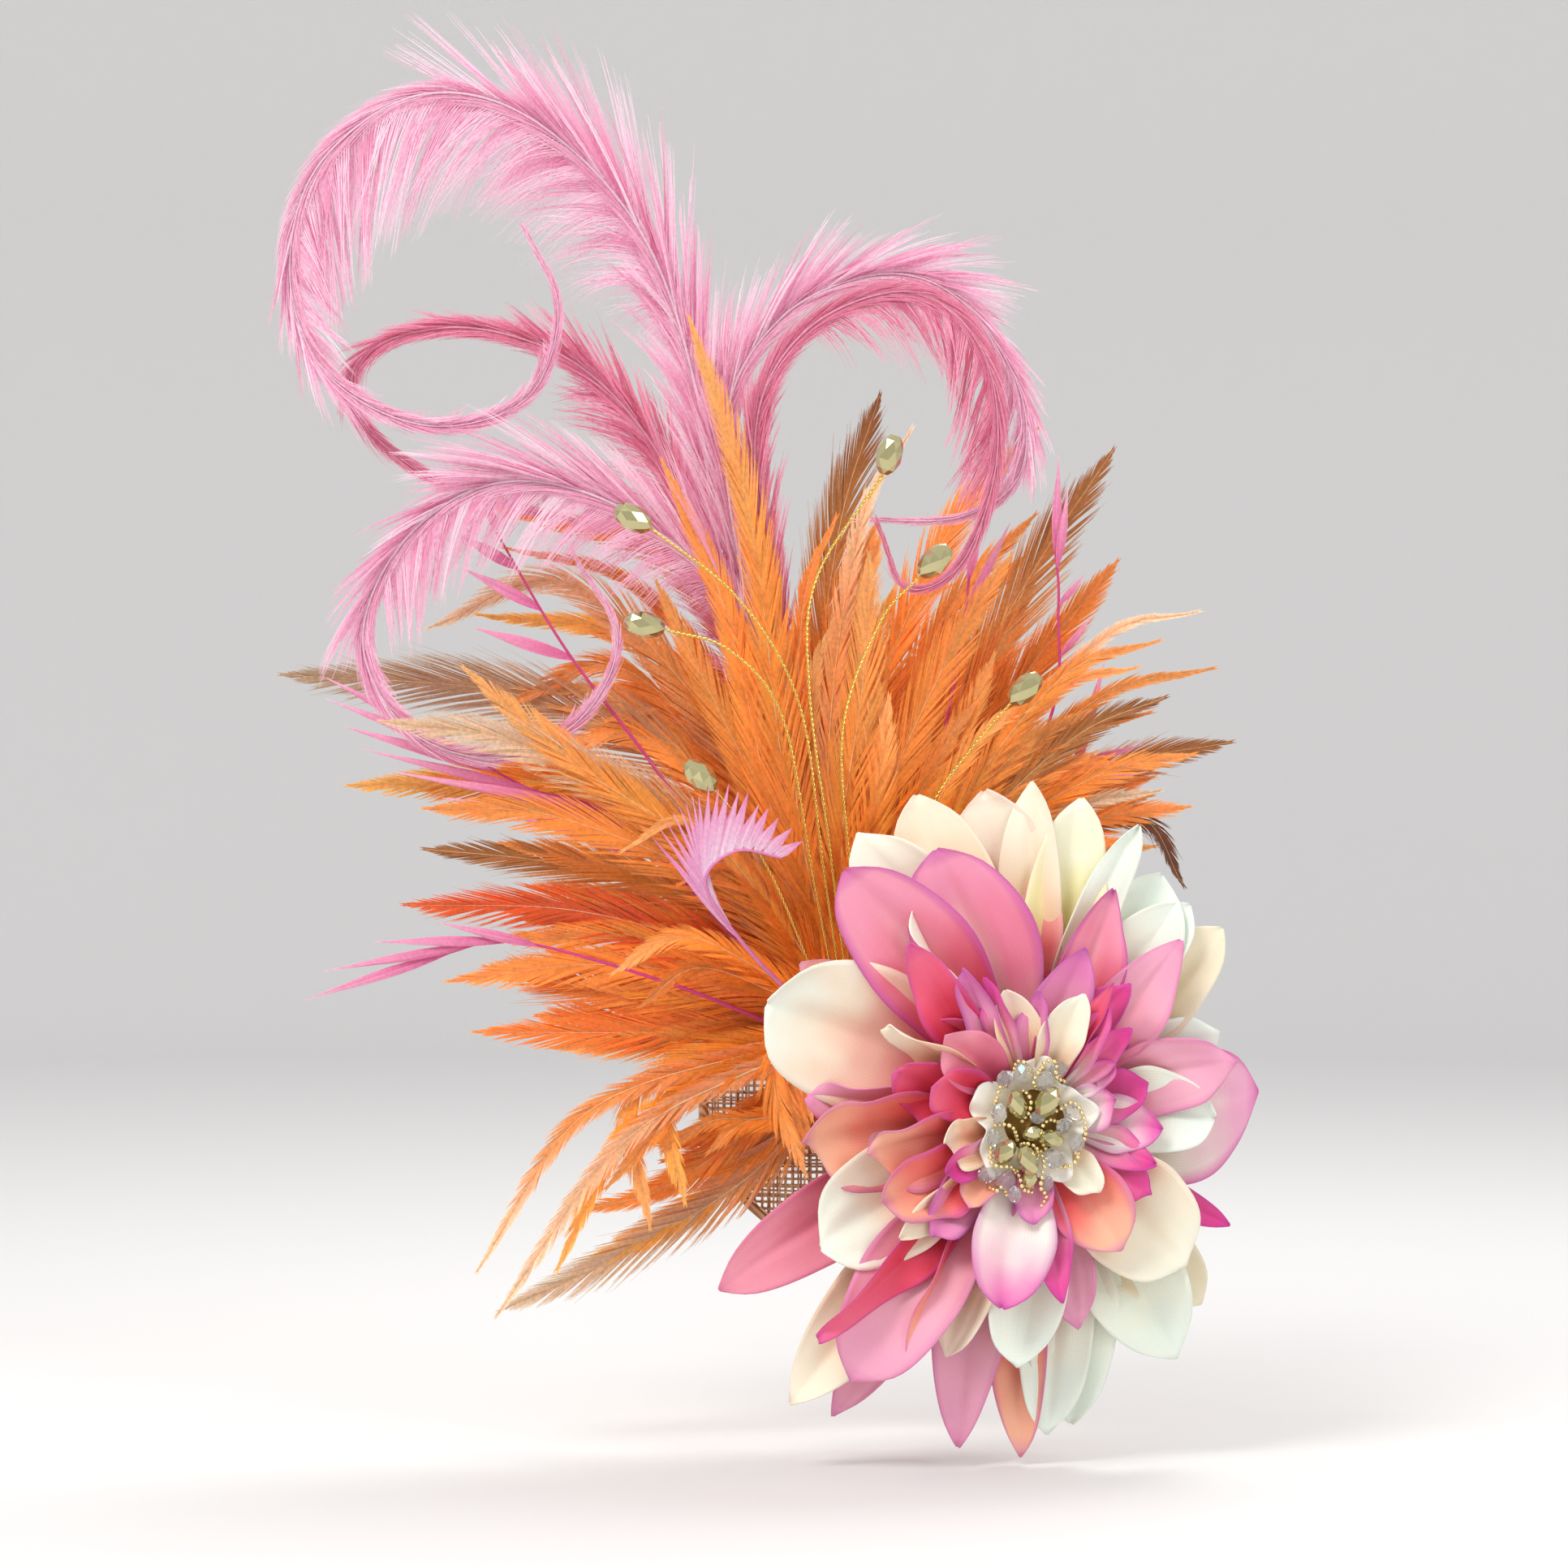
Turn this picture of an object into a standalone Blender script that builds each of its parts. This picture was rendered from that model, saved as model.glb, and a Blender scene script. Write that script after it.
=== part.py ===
"""A feather and silk flower fascinator, modelled in Blender in metres with +Z up.

A shallow oval sinamay base lies in the XZ plane, and everything stands out from its front face
towards -Y. From back to front: a spray of hackle feathers, curled plumes and biot strips, a
second spray of hackles, beaded wires with one biot fan, and a silk flower of four petal rings
round a cluster of crystals. A plain comb is sewn behind the base. The origin is the middle of
the base's rim plane, the side that it is worn on.
"""

import math
from collections import namedtuple

import bmesh
import bpy
from mathutils import Matrix, Vector

MM = 0.001
GAP = 0.3
TO_VIEWER = Vector((0, -1, 0))
ROUTE_STEPS = 16

# Base and comb, in millimetres
BASE_HALF_WIDTH = 60
BASE_HALF_HEIGHT = 52
BASE_DEPTH = 10
BASE_WALL = 2
BASE_SIDES = 24
RIM_ROLL = 1.6
# The dish's wall in section, as shares of its half width and of its depth
FACE_SHARE = 0.66
SIDE_SHARE = 0.88
SIDE_DEPTH_SHARE = 0.6
RIM_SHARE = 0.98
INNER_RIM_SHARE = 0.94
INNER_SIDE_SHARE = 0.85
INNER_FACE_SHARE = 0.65
COMB_WIDTH = 52
COMB_BAR_HEIGHT = 8
COMB_BAR_DEPTH = 3
COMB_TOP = 20
COMB_TEETH = 11
COMB_TOOTH_LENGTH = 34
COMB_TOOTH_RADIUS = 0.9
COMB_TOOTH_SIDES = 6
COMB_TOOTH_TIP_SHARE = 0.4
COMB_END = 1.4
COMB_TOOTH_SLOPE = 2.5

# Feather mounting: the pads that hold the quills, stacked in front of the base
PAD_CENTRE = (-12, 18)
PAD_RADIUS = 10
PAD_DEPTH = 4
PAD_SIDES = 16
SEAT_RADIUS = 9
FRONT_SEAT_RADIUS = 6
STEM_RADIUS = 0.8
WIRE_RADIUS = 0.5
QUILL_HALF_WIDTH = 0.8
BLADE_THICKNESS = 1.0

# A feather leans towards the viewer by its near slope out to the bend of the quills, by its far
# slope past that, and by a level step more for each level of the same pad
QUILL_BEND = 60
LEVELS = 3
FIRST_LEVEL = 0.25
LEVEL_SHARE = 0.17
BACK_SLOPES = (0.02, -0.14, 0.02)
FRONT_SLOPES = (0.14, 0.05, 0.03)
STEM_SLOPE = 0.09
SHOULDER_RISE = 3.5
PLUME_SHOULDER = 0.45
BIOT_SHOULDER = 0.3
FAN_SLOPE = 0.5
WIRE_SLOPE = 0.34
FAR_WIRE_SLOPE = 0.08
HACKLE_SEGMENTS = 4
PLUME_SEGMENTS = 21
BIOT_SEGMENTS = 7
WIRE_SEGMENTS = 9
STEM_SIDES = 5

# A hackle's vane is widest past its middle: half its width at a share t of its length is
# sin(pi * (start + span * t ** skew)) ** fullness
VANE_START = 0.02
VANE_SPAN = 0.96
VANE_SKEW = 1.5
VANE_FULLNESS = 0.8
QUILL_TAPER = 0.7

# A plume curls past this share of its length. Its dense middle widens at once and then thins
CURL_START = 0.26
BAND_RISE = 6
PLUME_TIP_HALF_WIDTH = 0.4
LOCK_HALF_WIDTHS = (2.6, 2.2, 0.35)
LOCK_BEND = 0.35
LOCK_SWING = 0.12
LOCK_BEAT = 2.4

# A biot's finger widens from its root to its belly and then narrows to its tip
FINGER_HALF_WIDTH = 2.4
FAN_FINGER_SHARE = 0.85
FINGER_SHARES = (0.2, 1, 0.14)
FINGER_BELLY = 0.45
FINGER_RISE = 0.06
FINGER_TIP_RISE = 2
LAST_FINGER = 0.6
STEM_TAPER = 0.35

# Depths of the layers in front of the base's face
BACK_PAD_Y = -BASE_DEPTH - GAP
STEM_Y = BACK_PAD_Y - PAD_DEPTH - GAP - STEM_RADIUS
FRONT_PAD_Y = STEM_Y - STEM_RADIUS - GAP
WIRE_Y = FRONT_PAD_Y - PAD_DEPTH - GAP - WIRE_RADIUS
FRONT_STEM_Y = FRONT_PAD_Y - PAD_DEPTH - GAP - STEM_RADIUS

# Flower: its hub is the point that every petal row grows from
HUB = (39, -3)
CALYX_FOOT = (29, -4)
CALYX_FOOT_RADIUS = 7
CALYX_TOP_RADIUS = 9
HUB_SIDES = 12
PETAL_THICKNESS = 1.0
PETAL_INSET = 4
PETAL_START = 0.1
PETAL_SPAN = 0.87
PETAL_SKEW = 1.15
PETAL_FULLNESS = 0.7
FLOWER_TILT = 0.12
LEVEL_STEP = 0.05

# A row for each hackle: the quill's shoulder, middle and tip as (x, z), the vane's width and its
# roll about the quill in degrees
Hackle = namedtuple("Hackle", "shoulder middle tip width roll")

BACK_HACKLES = (
    Hackle((-48, 88), (-110, 122), (-189, 130), 27, -12),
    Hackle((-45, 100), (-98, 157), (-143, 144), 17, 14),
    Hackle((-40, 105), (-78, 156), (-120, 169), 8, 10),
    Hackle((-34, 108), (-68, 164), (-125, 182), 14, -10),
    Hackle((-50, 56), (-100, 71), (-144, 76), 17, 12),
    Hackle((-46, 42), (-95, 57), (-150, 59), 20, -14),
    Hackle((-45, 29), (-85, 33), (-125, 40), 25, 10),
    Hackle((-42, 20), (-80, 20), (-128, 20), 15, -10),
    Hackle((-24, 100), (-17, 172), (-4, 216), 28, 12),
    Hackle((-10, 100), (14, 168), (45, 206), 18, -12),
    Hackle((5, 92), (41, 158), (68, 199), 28, 10),
    Hackle((-8, 108), (4, 148), (20, 158), 14, -8),
    Hackle((26, 76), (68, 101), (104, 109), 20, 12),
    Hackle((32, 74), (74, 86), (89, 65), 14, -10),
    Hackle((-42, -8), (-72, -28), (-100, -35), 10, 8),
    Hackle((-42, -22), (-85, -49), (-121, -66), 17, -10),
)
FRONT_HACKLES = (
    Hackle((-32, 90), (-44, 178), (-62, 236), 15, 12),
    Hackle((-20, 100), (-11, 172), (5, 203), 9, -10),
    Hackle((-5, 84), (18, 138), (35, 165), 18, 12),
    Hackle((15, 82), (60, 138), (91, 148), 7, 8),
    Hackle((14, 80), (49, 127), (79, 139), 9, -10),
    Hackle((20, 80), (60, 121), (96, 131), 8, 10),
    Hackle((24, 80), (54, 110), (81, 122), 17, -12),
    Hackle((28, 76), (60, 98), (90, 105), 14, 10),
    Hackle((28, 72), (55, 89), (80, 94), 10, -8),
    Hackle((-50, 70), (-95, 101), (-130, 131), 15, 14),
    Hackle((-50, 74), (-108, 107), (-155, 115), 20, -14),
    Hackle((-45, 68), (-63, 85), (-82, 76), 6, 8),
    Hackle((-38, 38), (-64, 50), (-85, 39), 10, -10),
    Hackle((-44, 14), (-94, -4), (-126, -51), 8, 10),
    Hackle((-46, 8), (-84, -14), (-120, -64), 8, -10),
    Hackle((-48, 16), (-79, 1), (-74, -38), 12, 12),
    Hackle((-36, -4), (-55, -6), (-70, -15), 8, -8),
    Hackle((-34, 22), (-36, 2), (-27, -22), 11, 8),
    Hackle((-34, 78), (-58, 128), (-72, 157), 14, 10),
    Hackle((-16, 78), (-10, 124), (-8, 165), 18, 10),
    Hackle((0, 76), (20, 112), (30, 135), 16, -12),
    Hackle((-36, 58), (-60, 75), (-85, 92), 14, 12),
)

# A row for each curled plume: where it sits round the pad, in degrees, its quill as (x, z, y) from
# the foot of the curl on, the half width of its dense middle, and its locks of barbs. A row of
# locks runs from the first to the last share of the curl's length, on the quill's right side as
# it grows (+1) or its left (-1), with its reach and its sweep from the quill in degrees
Plume = namedtuple("Plume", "name seat curl half_width locks")
Locks = namedtuple("Locks", "first last count side reach sweep")

PLUMES = (
    Plume(
        "plume_tall_left",
        106,
        (
            (-52, 150, -16), (-60, 215, -13), (-78, 266, -12), (-112, 300, -12), (-146, 306, -13),
            (-176, 284, -14), (-184, 250, -16), (-172, 220, -17), (-142, 205, -18),
            (-112, 213, -19), (-102, 240, -20), (-112, 264, -21),
        ),
        5.5,
        (Locks(0.02, 0.34, 8, 1, 42, 17), Locks(0.05, 0.2, 4, -1, 34, 20), Locks(0.26, 0.56, 6, -1, 24, 52)),
    ),
    Plume(
        "plume_low_left",
        140,
        (
            (-49, 146, -26), (-74, 174, -26), (-104, 187, -26), (-130, 184, -26), (-152, 165, -26),
            (-161, 138, -25), (-148, 113, -24), (-122, 104, -23), (-96, 115, -22),
            (-84, 140, -21), (-97, 165, -20),
        ),
        4.5,
        (Locks(0.1, 0.42, 7, -1, 26, 40), Locks(0.04, 0.3, 4, 1, 30, 15), Locks(0.34, 0.46, 3, 1, 24, 22)),
    ),
    Plume(
        "plume_middle_left",
        123,
        (
            (-52, 150, -12), (-70, 194, -8), (-96, 224, -6), (-130, 236, -5), (-160, 230, -4),
            (-166, 214, -4), (-150, 195, -5), (-122, 183, -6), (-90, 175, -7),
        ),
        5,
        (Locks(0.04, 0.4, 6, 1, 26, 20), Locks(0.04, 0.34, 4, -1, 26, 20)),
    ),
    Plume(
        "plume_right_outer",
        90,
        (
            (-44, 148, -20), (-51, 206, -19), (-34, 238, -19), (-4, 251, -19), (20, 243, -20),
            (38, 216, -21), (38, 190, -22), (20, 177, -23), (-10, 176, -24),
        ),
        4.5,
        (Locks(0.16, 0.66, 9, -1, 34, 20),),
    ),
    Plume(
        "plume_right_inner",
        73,
        (
            (-36, 150, -25), (-42, 204, -25), (-26, 234, -25), (5, 245, -26), (26, 228, -27),
            (31, 196, -28), (21, 164, -29), (4, 155, -29), (-5, 174, -28),
        ),
        4.5,
        (Locks(0.06, 0.26, 4, 1, 22, 18), Locks(0.44, 0.7, 5, 1, 18, 45)),
    ),
)

# A row for each biot strip: where its stem sits round the pad, in degrees, its stem as (x, z, y),
# and its stiff fingers as (share of the stem's length, tip x, tip z)
Biot = namedtuple("Biot", "name seat stem fingers")
Finger = namedtuple("Finger", "share x z")

BIOTS = (
    Biot(
        "biot_left_long",
        173,
        ((-82, 84, -20), (-112, 95, -18), (-136, 109, -17)),
        (
            Finger(1.0, -173, 122), Finger(0.9, -169, 114), Finger(0.78, -163, 107),
            Finger(0.66, -154, 100), Finger(0.5, -118, 87),
        ),
    ),
    Biot(
        "biot_left_low",
        190,
        ((-70, 36, -20), (-115, 48, -17), (-138, 44, -15)),
        (Finger(1.0, -180, 30), Finger(0.92, -174, 39), Finger(0.84, -159, 48), Finger(0.76, -139, 54)),
    ),
    Biot(
        "biot_left_upper",
        156,
        ((-70, 97, -17), (-100, 137, -15), (-122, 174, -13)),
        (Finger(1.0, -127, 190), Finger(0.94, -133, 172), Finger(0.86, -132, 162), Finger(0.76, -129, 144)),
    ),
    Biot(
        "biot_right_tall",
        39,
        ((46, 112, -20), (50, 150, -18), (49, 168, -17)),
        (Finger(1.0, 51, 188), Finger(0.9, 58, 160), Finger(0.8, 60, 147), Finger(0.72, 63, 137)),
    ),
    Biot(
        "biot_right_inner",
        56,
        ((14, 106, -19), (21, 145, -18), (23, 160, -18)),
        (Finger(1.0, 26, 176), Finger(0.92, 36, 177)),
    ),
    Biot(
        "biot_right_low",
        22,
        ((40, 84, -21), (52, 96, -20), (58, 104, -20)),
        (Finger(1.0, 76, 108), Finger(0.9, 78, 100), Finger(0.96, 64, 134)),
    ),
)
FRONT_FAN = Biot(
    "biot_front_fan",
    170,
    ((-44, 46, -38), (-57, 66, -45), (-48, 76, -47), (-34, 74, -47)),
    (
        Finger(0.6, -70, 84), Finger(0.68, -62, 90), Finger(0.76, -54, 93), Finger(0.84, -46, 91),
        Finger(0.92, -38, 86), Finger(0.98, -30, 80),
    ),
)

# A row for each gold wire: where it sits round the pad, in degrees, its route as (x, z), and the
# direction in which its bead points as (x, z)
BeadedWire = namedtuple("BeadedWire", "seat route bead_axis")

WIRES = (
    BeadedWire(116, ((-29, 120), (-47, 151), (-73, 172)), (-0.86, 0.5)),
    BeadedWire(132, ((-34, 116), (-50, 136), (-69, 142)), (-0.97, 0.25)),
    BeadedWire(100, ((-26, 125), (-24, 157), (-4, 188)), (0.3, 0.95)),
    BeadedWire(82, ((-16, 112), (-5, 144), (7, 158)), (0.7, 0.7)),
    BeadedWire(150, ((-36, 66), (-46, 84), (-54, 94)), (-0.7, 0.7)),
    BeadedWire(62, ((10, 88), (22, 106), (34, 120)), (0.7, 0.7)),
)
BEAD_LENGTH = 12
BEAD_RADIUS = 4
BEAD_SIDES = 10
BEAD_TILT = 0.1
# A bead's rings of corners, as shares of its half length and of its radius
BEAD_PROFILE = ((-1, 0.35), (-0.42, 0.95), (0.42, 0.95), (1, 0.35))

# A row for each petal: the tip as (x, z), the width, how far the middle arches towards the
# viewer, and the roll about its own length in degrees
Petal = namedtuple("Petal", "tip width arch roll")
Ring = namedtuple("Ring", "name petals slope")

BACK_PETALS = (
    Petal((6, 92), 25, 4, 0), Petal((-12, 81), 22, 3, 6), Petal((26, 94), 26, 4, 0),
    Petal((40, 96), 18, 2, 0), Petal((54, 92), 21, 4, -4), Petal((71, 83), 14, 5, -8),
    Petal((80, 68), 26, 4, 0), Petal((97, 52), 24, 3, 4), Petal((97, 21), 26, 3, 0),
    Petal((109, 4), 36, 5, 0), Petal((100, -36), 12, 2, 0), Petal((92, -57), 27, 3, 4),
    Petal((84, -76), 28, 4, 0), Petal((52, -94), 26, 4, 0), Petal((45, -98), 22, 2, 4),
    Petal((36, -105), 16, 3, 0), Petal((18, -100), 20, 4, 0), Petal((-18, -92), 16, 3, 0),
    Petal((-32, -87), 23, 4, -6), Petal((-53, -52), 21, 4, 0), Petal((-29, 43), 21, 3, 0),
)
OUTER_PETALS = (
    Petal((-39, 31), 34, 2, 10), Petal((-16, 70), 28, 3, 6), Petal((11, 76), 31, 3, 4),
    Petal((64, 65), 18, 3, 0), Petal((84, 50), 18, 3, 0), Petal((79, 39), 16, 2, 0),
    Petal((-14, -80), 27, 4, 0), Petal((-22, -40), 28, 4, 0), Petal((-28, -9), 25, 3, 8),
    Petal((36, -75), 20, 3, 0), Petal((12, -72), 16, 3, -8), Petal((85, -47), 30, 4, 0),
    Petal((94, -2), 22, 3, 0), Petal((54, -64), 18, 3, 0),
)
MIDDLE_PETALS = (
    Petal((78, -6), 14, 1, 0), Petal((73, 7), 14, 1, 0), Petal((75, -24), 14, 1, 0),
    Petal((66, -40), 20, 2, 0), Petal((31, -56), 20, 2, 0), Petal((48, -52), 11, 1, 0),
    Petal((9, -37), 14, 1, 6), Petal((-2, -22), 18, 1, 8), Petal((-2, 10), 16, 1, 6),
    Petal((3, 57), 13, 1, 8), Petal((14, 28), 16, 1, 6), Petal((55, 47), 14, 1, 0),
    Petal((67, 36), 11, 1, 0),
)
INNER_PETALS = (
    Petal((20, 42), 10, 0, 0), Petal((31, 34), 12, 0, 0), Petal((42, 36), 9, 0, 0),
    Petal((52, 34), 12, 0, 0), Petal((62, 30), 9, 0, 0), Petal((66, 22), 9, 0, 0),
    Petal((11, 8), 11, 0, 0), Petal((12, -14), 10, 0, 0), Petal((21, -27), 9, 0, 0),
    Petal((40, -32), 10, 0, 0), Petal((60, -22), 10, 0, 0), Petal((64, 4), 11, 0, 0),
)
RINGS = (
    Ring("petals_back", BACK_PETALS, 0.02),
    Ring("petals_outer", OUTER_PETALS, 0.16),
    Ring("petals_middle", MIDDLE_PETALS, 0.34),
    Ring("petals_inner", INNER_PETALS, 0.4),
)
PETAL_SEGMENTS = 3
HUB_RADIUS = 11
HUB_DEPTH = 6
HUB_PITCH = HUB_DEPTH + GAP
FIRST_HUB_Y = -44
HEART_RADIUS = 13
HEART_DISC_DEPTH = 3
BOSS_SHARE = 0.62
BOSS_SINK = 0.5
DOME_RADIUS = 15
DOME_RISE = 4.2

# Cut stones of the flower's heart: distance from its middle, how many, and their width
StoneRing = namedtuple("StoneRing", "radius count width")
STONE_RINGS = (StoneRing(0, 1, 8), StoneRing(7.5, 5, 7), StoneRing(12.5, 8, 5.5))
STONE_SIDES = 6
STONE_TURN = 0.3
# A stone's rings of corners, as a depth and a share of its radius
STONE_PROFILE = ((2.2, 0.35), (0, 1.0), (-2.2, 0.55))


def clear_scene():
    for obj in list(bpy.data.objects):
        bpy.data.objects.remove(obj)


def painted(name, colour, roughness, metallic=0.0):
    material = bpy.data.materials.new(name)
    material.use_nodes = True
    shader = material.node_tree.nodes["Principled BSDF"]
    shader.inputs["Base Color"].default_value = (*colour, 1)
    shader.inputs["Roughness"].default_value = roughness
    shader.inputs["Metallic"].default_value = metallic
    material.diffuse_color = (*colour, 1)
    return material


def at(x, y, z):
    """A point given in millimetres."""
    return Vector((x, y, z)) * MM


def smooth_route(points, count):
    """count + 1 points, evenly spaced along a smooth curve through the given ones."""
    ends = [2 * points[0] - points[1], *points, 2 * points[-1] - points[-2]]
    fine = []
    for before, start, end, after in zip(ends, ends[1:], ends[2:], ends[3:]):
        for step in range(ROUTE_STEPS):
            t = step / ROUTE_STEPS
            fine.append(
                0.5 * (
                    2 * start + (end - before) * t
                    + (2 * before - 5 * start + 4 * end - after) * t**2
                    + (3 * start - before - 3 * end + after) * t**3
                )
            )
    fine.append(points[-1].copy())
    lengths = [0.0]
    for a, b in zip(fine, fine[1:]):
        lengths.append(lengths[-1] + (b - a).length)
    route = []
    index = 0
    for step in range(count + 1):
        target = lengths[-1] * step / count
        while index < len(fine) - 2 and lengths[index + 1] < target:
            index += 1
        share = (target - lengths[index]) / (lengths[index + 1] - lengths[index])
        route.append(fine[index].lerp(fine[index + 1], min(share, 1)))
    return route


def tangents(route):
    inner = [(b - a).normalized() for a, b in zip(route, route[2:])]
    return [(route[1] - route[0]).normalized(), *inner, (route[-1] - route[-2]).normalized()]


def loft(sections):
    """A closed mesh through sections that all have the same number of points."""
    mesh = bmesh.new()
    loops = [[mesh.verts.new(point) for point in section] for section in sections]
    count = len(loops[0])
    for lower, upper in zip(loops, loops[1:]):
        for i in range(count):
            j = (i + 1) % count
            mesh.faces.new((lower[i], lower[j], upper[j], upper[i]))
    mesh.faces.new(loops[0])
    mesh.faces.new(loops[-1])
    bmesh.ops.recalc_face_normals(mesh, faces=mesh.faces)
    return mesh


def tube(route, radii, sides):
    """A round bar along a route, with a radius for each of its points."""
    sections = []
    directions = tangents(route)
    across = directions[0].orthogonal().normalized()
    for point, direction, radius in zip(route, directions, radii):
        across = (across - direction * across.dot(direction)).normalized()
        up = direction.cross(across)
        sections.append(
            [
                point + (across * math.cos(a) + up * math.sin(a)) * radius
                for a in (2 * math.pi * i / sides for i in range(sides))
            ]
        )
    return loft(sections)


def blade(route, half_widths, rolls, thickness, face=TO_VIEWER):
    """A thin bar of diamond section along a route, with its flat side turned to face."""
    sections = []
    for point, direction, half_width, roll in zip(route, tangents(route), half_widths, rolls):
        across = Matrix.Rotation(roll, 3, direction) @ direction.cross(face).normalized()
        normal = across.cross(direction)
        out = across * half_width
        up = normal * thickness / 2
        sections.append([point + out, point + up, point - out, point - up])
    return loft(sections)


def disc(centre_x, centre_z, back_y, depth, radius, sides):
    rings = []
    for y in (back_y, back_y - depth):
        rings.append(
            [
                at(centre_x + radius * math.cos(a), y, centre_z + radius * math.sin(a))
                for a in (2 * math.pi * i / sides for i in range(sides))
            ]
        )
    return loft(rings)


def add_object(name, mesh, material):
    data = bpy.data.meshes.new(name)
    mesh.to_mesh(data)
    mesh.free()
    data.materials.append(material)
    obj = bpy.data.objects.new(name, data)
    bpy.context.scene.collection.objects.link(obj)
    return obj


def outer_shell(mesh):
    """Keeps the largest run of joined faces, so that a pocket closed in between pieces is filled."""
    left = set(mesh.faces)
    shells = []
    while left:
        stack = [left.pop()]
        shell = list(stack)
        while stack:
            for edge in stack.pop().edges:
                if len(edge.link_faces) != 2:
                    continue
                for face in edge.link_faces:
                    if face in left:
                        left.remove(face)
                        stack.append(face)
                        shell.append(face)
        shells.append(shell)
    shells.sort(key=len)
    inner = [face for shell in shells[:-1] for face in shell]
    bmesh.ops.delete(mesh, geom=inner, context="FACES")


def fuse(name, meshes, material):
    """One solid: the union of overlapping closed meshes."""
    body = add_object(name, meshes[0], material)
    group = bpy.data.collections.new(name + "_pieces")
    bpy.context.scene.collection.children.link(group)
    for mesh in meshes[1:]:
        piece = add_object(name + "_piece", mesh, material)
        bpy.context.scene.collection.objects.unlink(piece)
        group.objects.link(piece)
    union = body.modifiers.new("union", "BOOLEAN")
    union.operation = "UNION"
    union.operand_type = "COLLECTION"
    union.collection = group
    union.solver = "EXACT"
    fused = bmesh.new()
    fused.from_object(body, bpy.context.evaluated_depsgraph_get())
    outer_shell(fused)
    body.modifiers.remove(union)
    fused.to_mesh(body.data)
    fused.free()
    for piece in list(group.objects):
        bpy.data.objects.remove(piece)
    bpy.data.collections.remove(group)
    return body


def pad_distance(x, z):
    return math.hypot(x - PAD_CENTRE[0], z - PAD_CENTRE[1])


def layer_y(x, z, start_y, near_slope, far_slope):
    """Depth of a layer of feathers: one lean out to the bend of the quills, another past it."""
    distance = pad_distance(x, z)
    near = min(distance, QUILL_BEND)
    return start_y - near_slope * near - far_slope * (distance - near)


def seat_point(angle, radius):
    """A stem's start: a point of the pad, at this angle in degrees."""
    turn = math.radians(angle)
    return PAD_CENTRE[0] + radius * math.cos(turn), PAD_CENTRE[1] + radius * math.sin(turn)


def pad_angle(row):
    """The way in which a hackle leaves the pad, in degrees from straight down."""
    x, z = row.shoulder
    return (math.degrees(math.atan2(z - PAD_CENTRE[1], x - PAD_CENTRE[0])) + 90) % 360


def hackle_blade(row, start_y, near_slope, far_slope):
    seat = seat_point(pad_angle(row) - 90, PAD_RADIUS / 2)
    points = []
    for x, z in (seat, row.shoulder, row.middle, row.tip):
        points.append(at(x, layer_y(x, z, start_y, near_slope, far_slope), z))
    half_widths = []
    rolls = []
    for step in range(HACKLE_SEGMENTS + 1):
        share = step / HACKLE_SEGMENTS
        vane = math.sin(math.pi * (VANE_START + VANE_SPAN * share**VANE_SKEW)) ** VANE_FULLNESS
        quill = QUILL_HALF_WIDTH * (1 - QUILL_TAPER * share)
        half_widths.append(max(quill, row.width / 2 * vane) * MM)
        rolls.append(math.radians(row.roll) * share)
    route = smooth_route(points, HACKLE_SEGMENTS)
    return blade(route, half_widths, rolls, BLADE_THICKNESS * MM)


def build_hackles(name, rows, pad_y, near_slope, far_slope, level_step, material):
    """Hackles on one pad, in levels that part as they leave it."""
    meshes = [disc(*PAD_CENTRE, pad_y, PAD_DEPTH, PAD_RADIUS, PAD_SIDES)]
    for index, row in enumerate(sorted(rows, key=pad_angle)):
        level = index % LEVELS
        start_y = pad_y - PAD_DEPTH * (FIRST_LEVEL + LEVEL_SHARE * level)
        meshes.append(hackle_blade(row, start_y, near_slope + level * level_step, far_slope))
    return fuse(name, meshes, material)


def lock_blade(root, direction, curl_towards, reach):
    """A lock of barbs: a spike that bends a little towards the quill's own direction."""
    middle = root + direction * reach * 0.5
    tip = root + (direction + curl_towards * LOCK_BEND).normalized() * reach
    half_widths = [half_width * MM for half_width in LOCK_HALF_WIDTHS]
    return blade([root, middle, tip], half_widths, (0, 0, 0), BLADE_THICKNESS * MM)


def plume_meshes(row):
    seat_x, seat_z = seat_point(row.seat, SEAT_RADIUS)
    seat = at(seat_x, STEM_Y, seat_z)
    curl = [at(x, y, z) for x, z, y in row.curl]
    shoulder = seat.lerp(curl[0], PLUME_SHOULDER)
    shoulder.y -= SHOULDER_RISE * MM
    route = smooth_route([seat, shoulder, *curl], PLUME_SEGMENTS)
    curl_start = round(PLUME_SEGMENTS * CURL_START)
    half_widths = []
    for step in range(len(route)):
        share = max(0, (step - curl_start) / (len(route) - 1 - curl_start))
        taper = min(1, share * BAND_RISE) * math.sqrt(1 - share)
        half_widths.append(max(STEM_RADIUS, row.half_width * taper) * MM)
    half_widths[-1] = PLUME_TIP_HALF_WIDTH * MM
    meshes = [blade(route, half_widths, [0] * len(route), 2 * STEM_RADIUS * MM)]
    directions = tangents(route)
    last = len(route) - 1
    for locks in row.locks:
        for i in range(locks.count):
            share = locks.first + (locks.last - locks.first) * i / max(1, locks.count - 1)
            place = curl_start + share * (last - curl_start)
            index = min(int(place), last - 1)
            root = route[index].lerp(route[index + 1], place - index)
            direction = directions[index]
            side = direction.cross(TO_VIEWER).normalized() * locks.side
            sweep = math.radians(locks.sweep)
            spike = direction * math.cos(sweep) + side * math.sin(sweep)
            reach = locks.reach * (1 - LOCK_SWING + LOCK_SWING * math.cos(LOCK_BEAT * i)) * MM
            meshes.append(lock_blade(root, spike, direction, reach))
    return meshes


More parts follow.
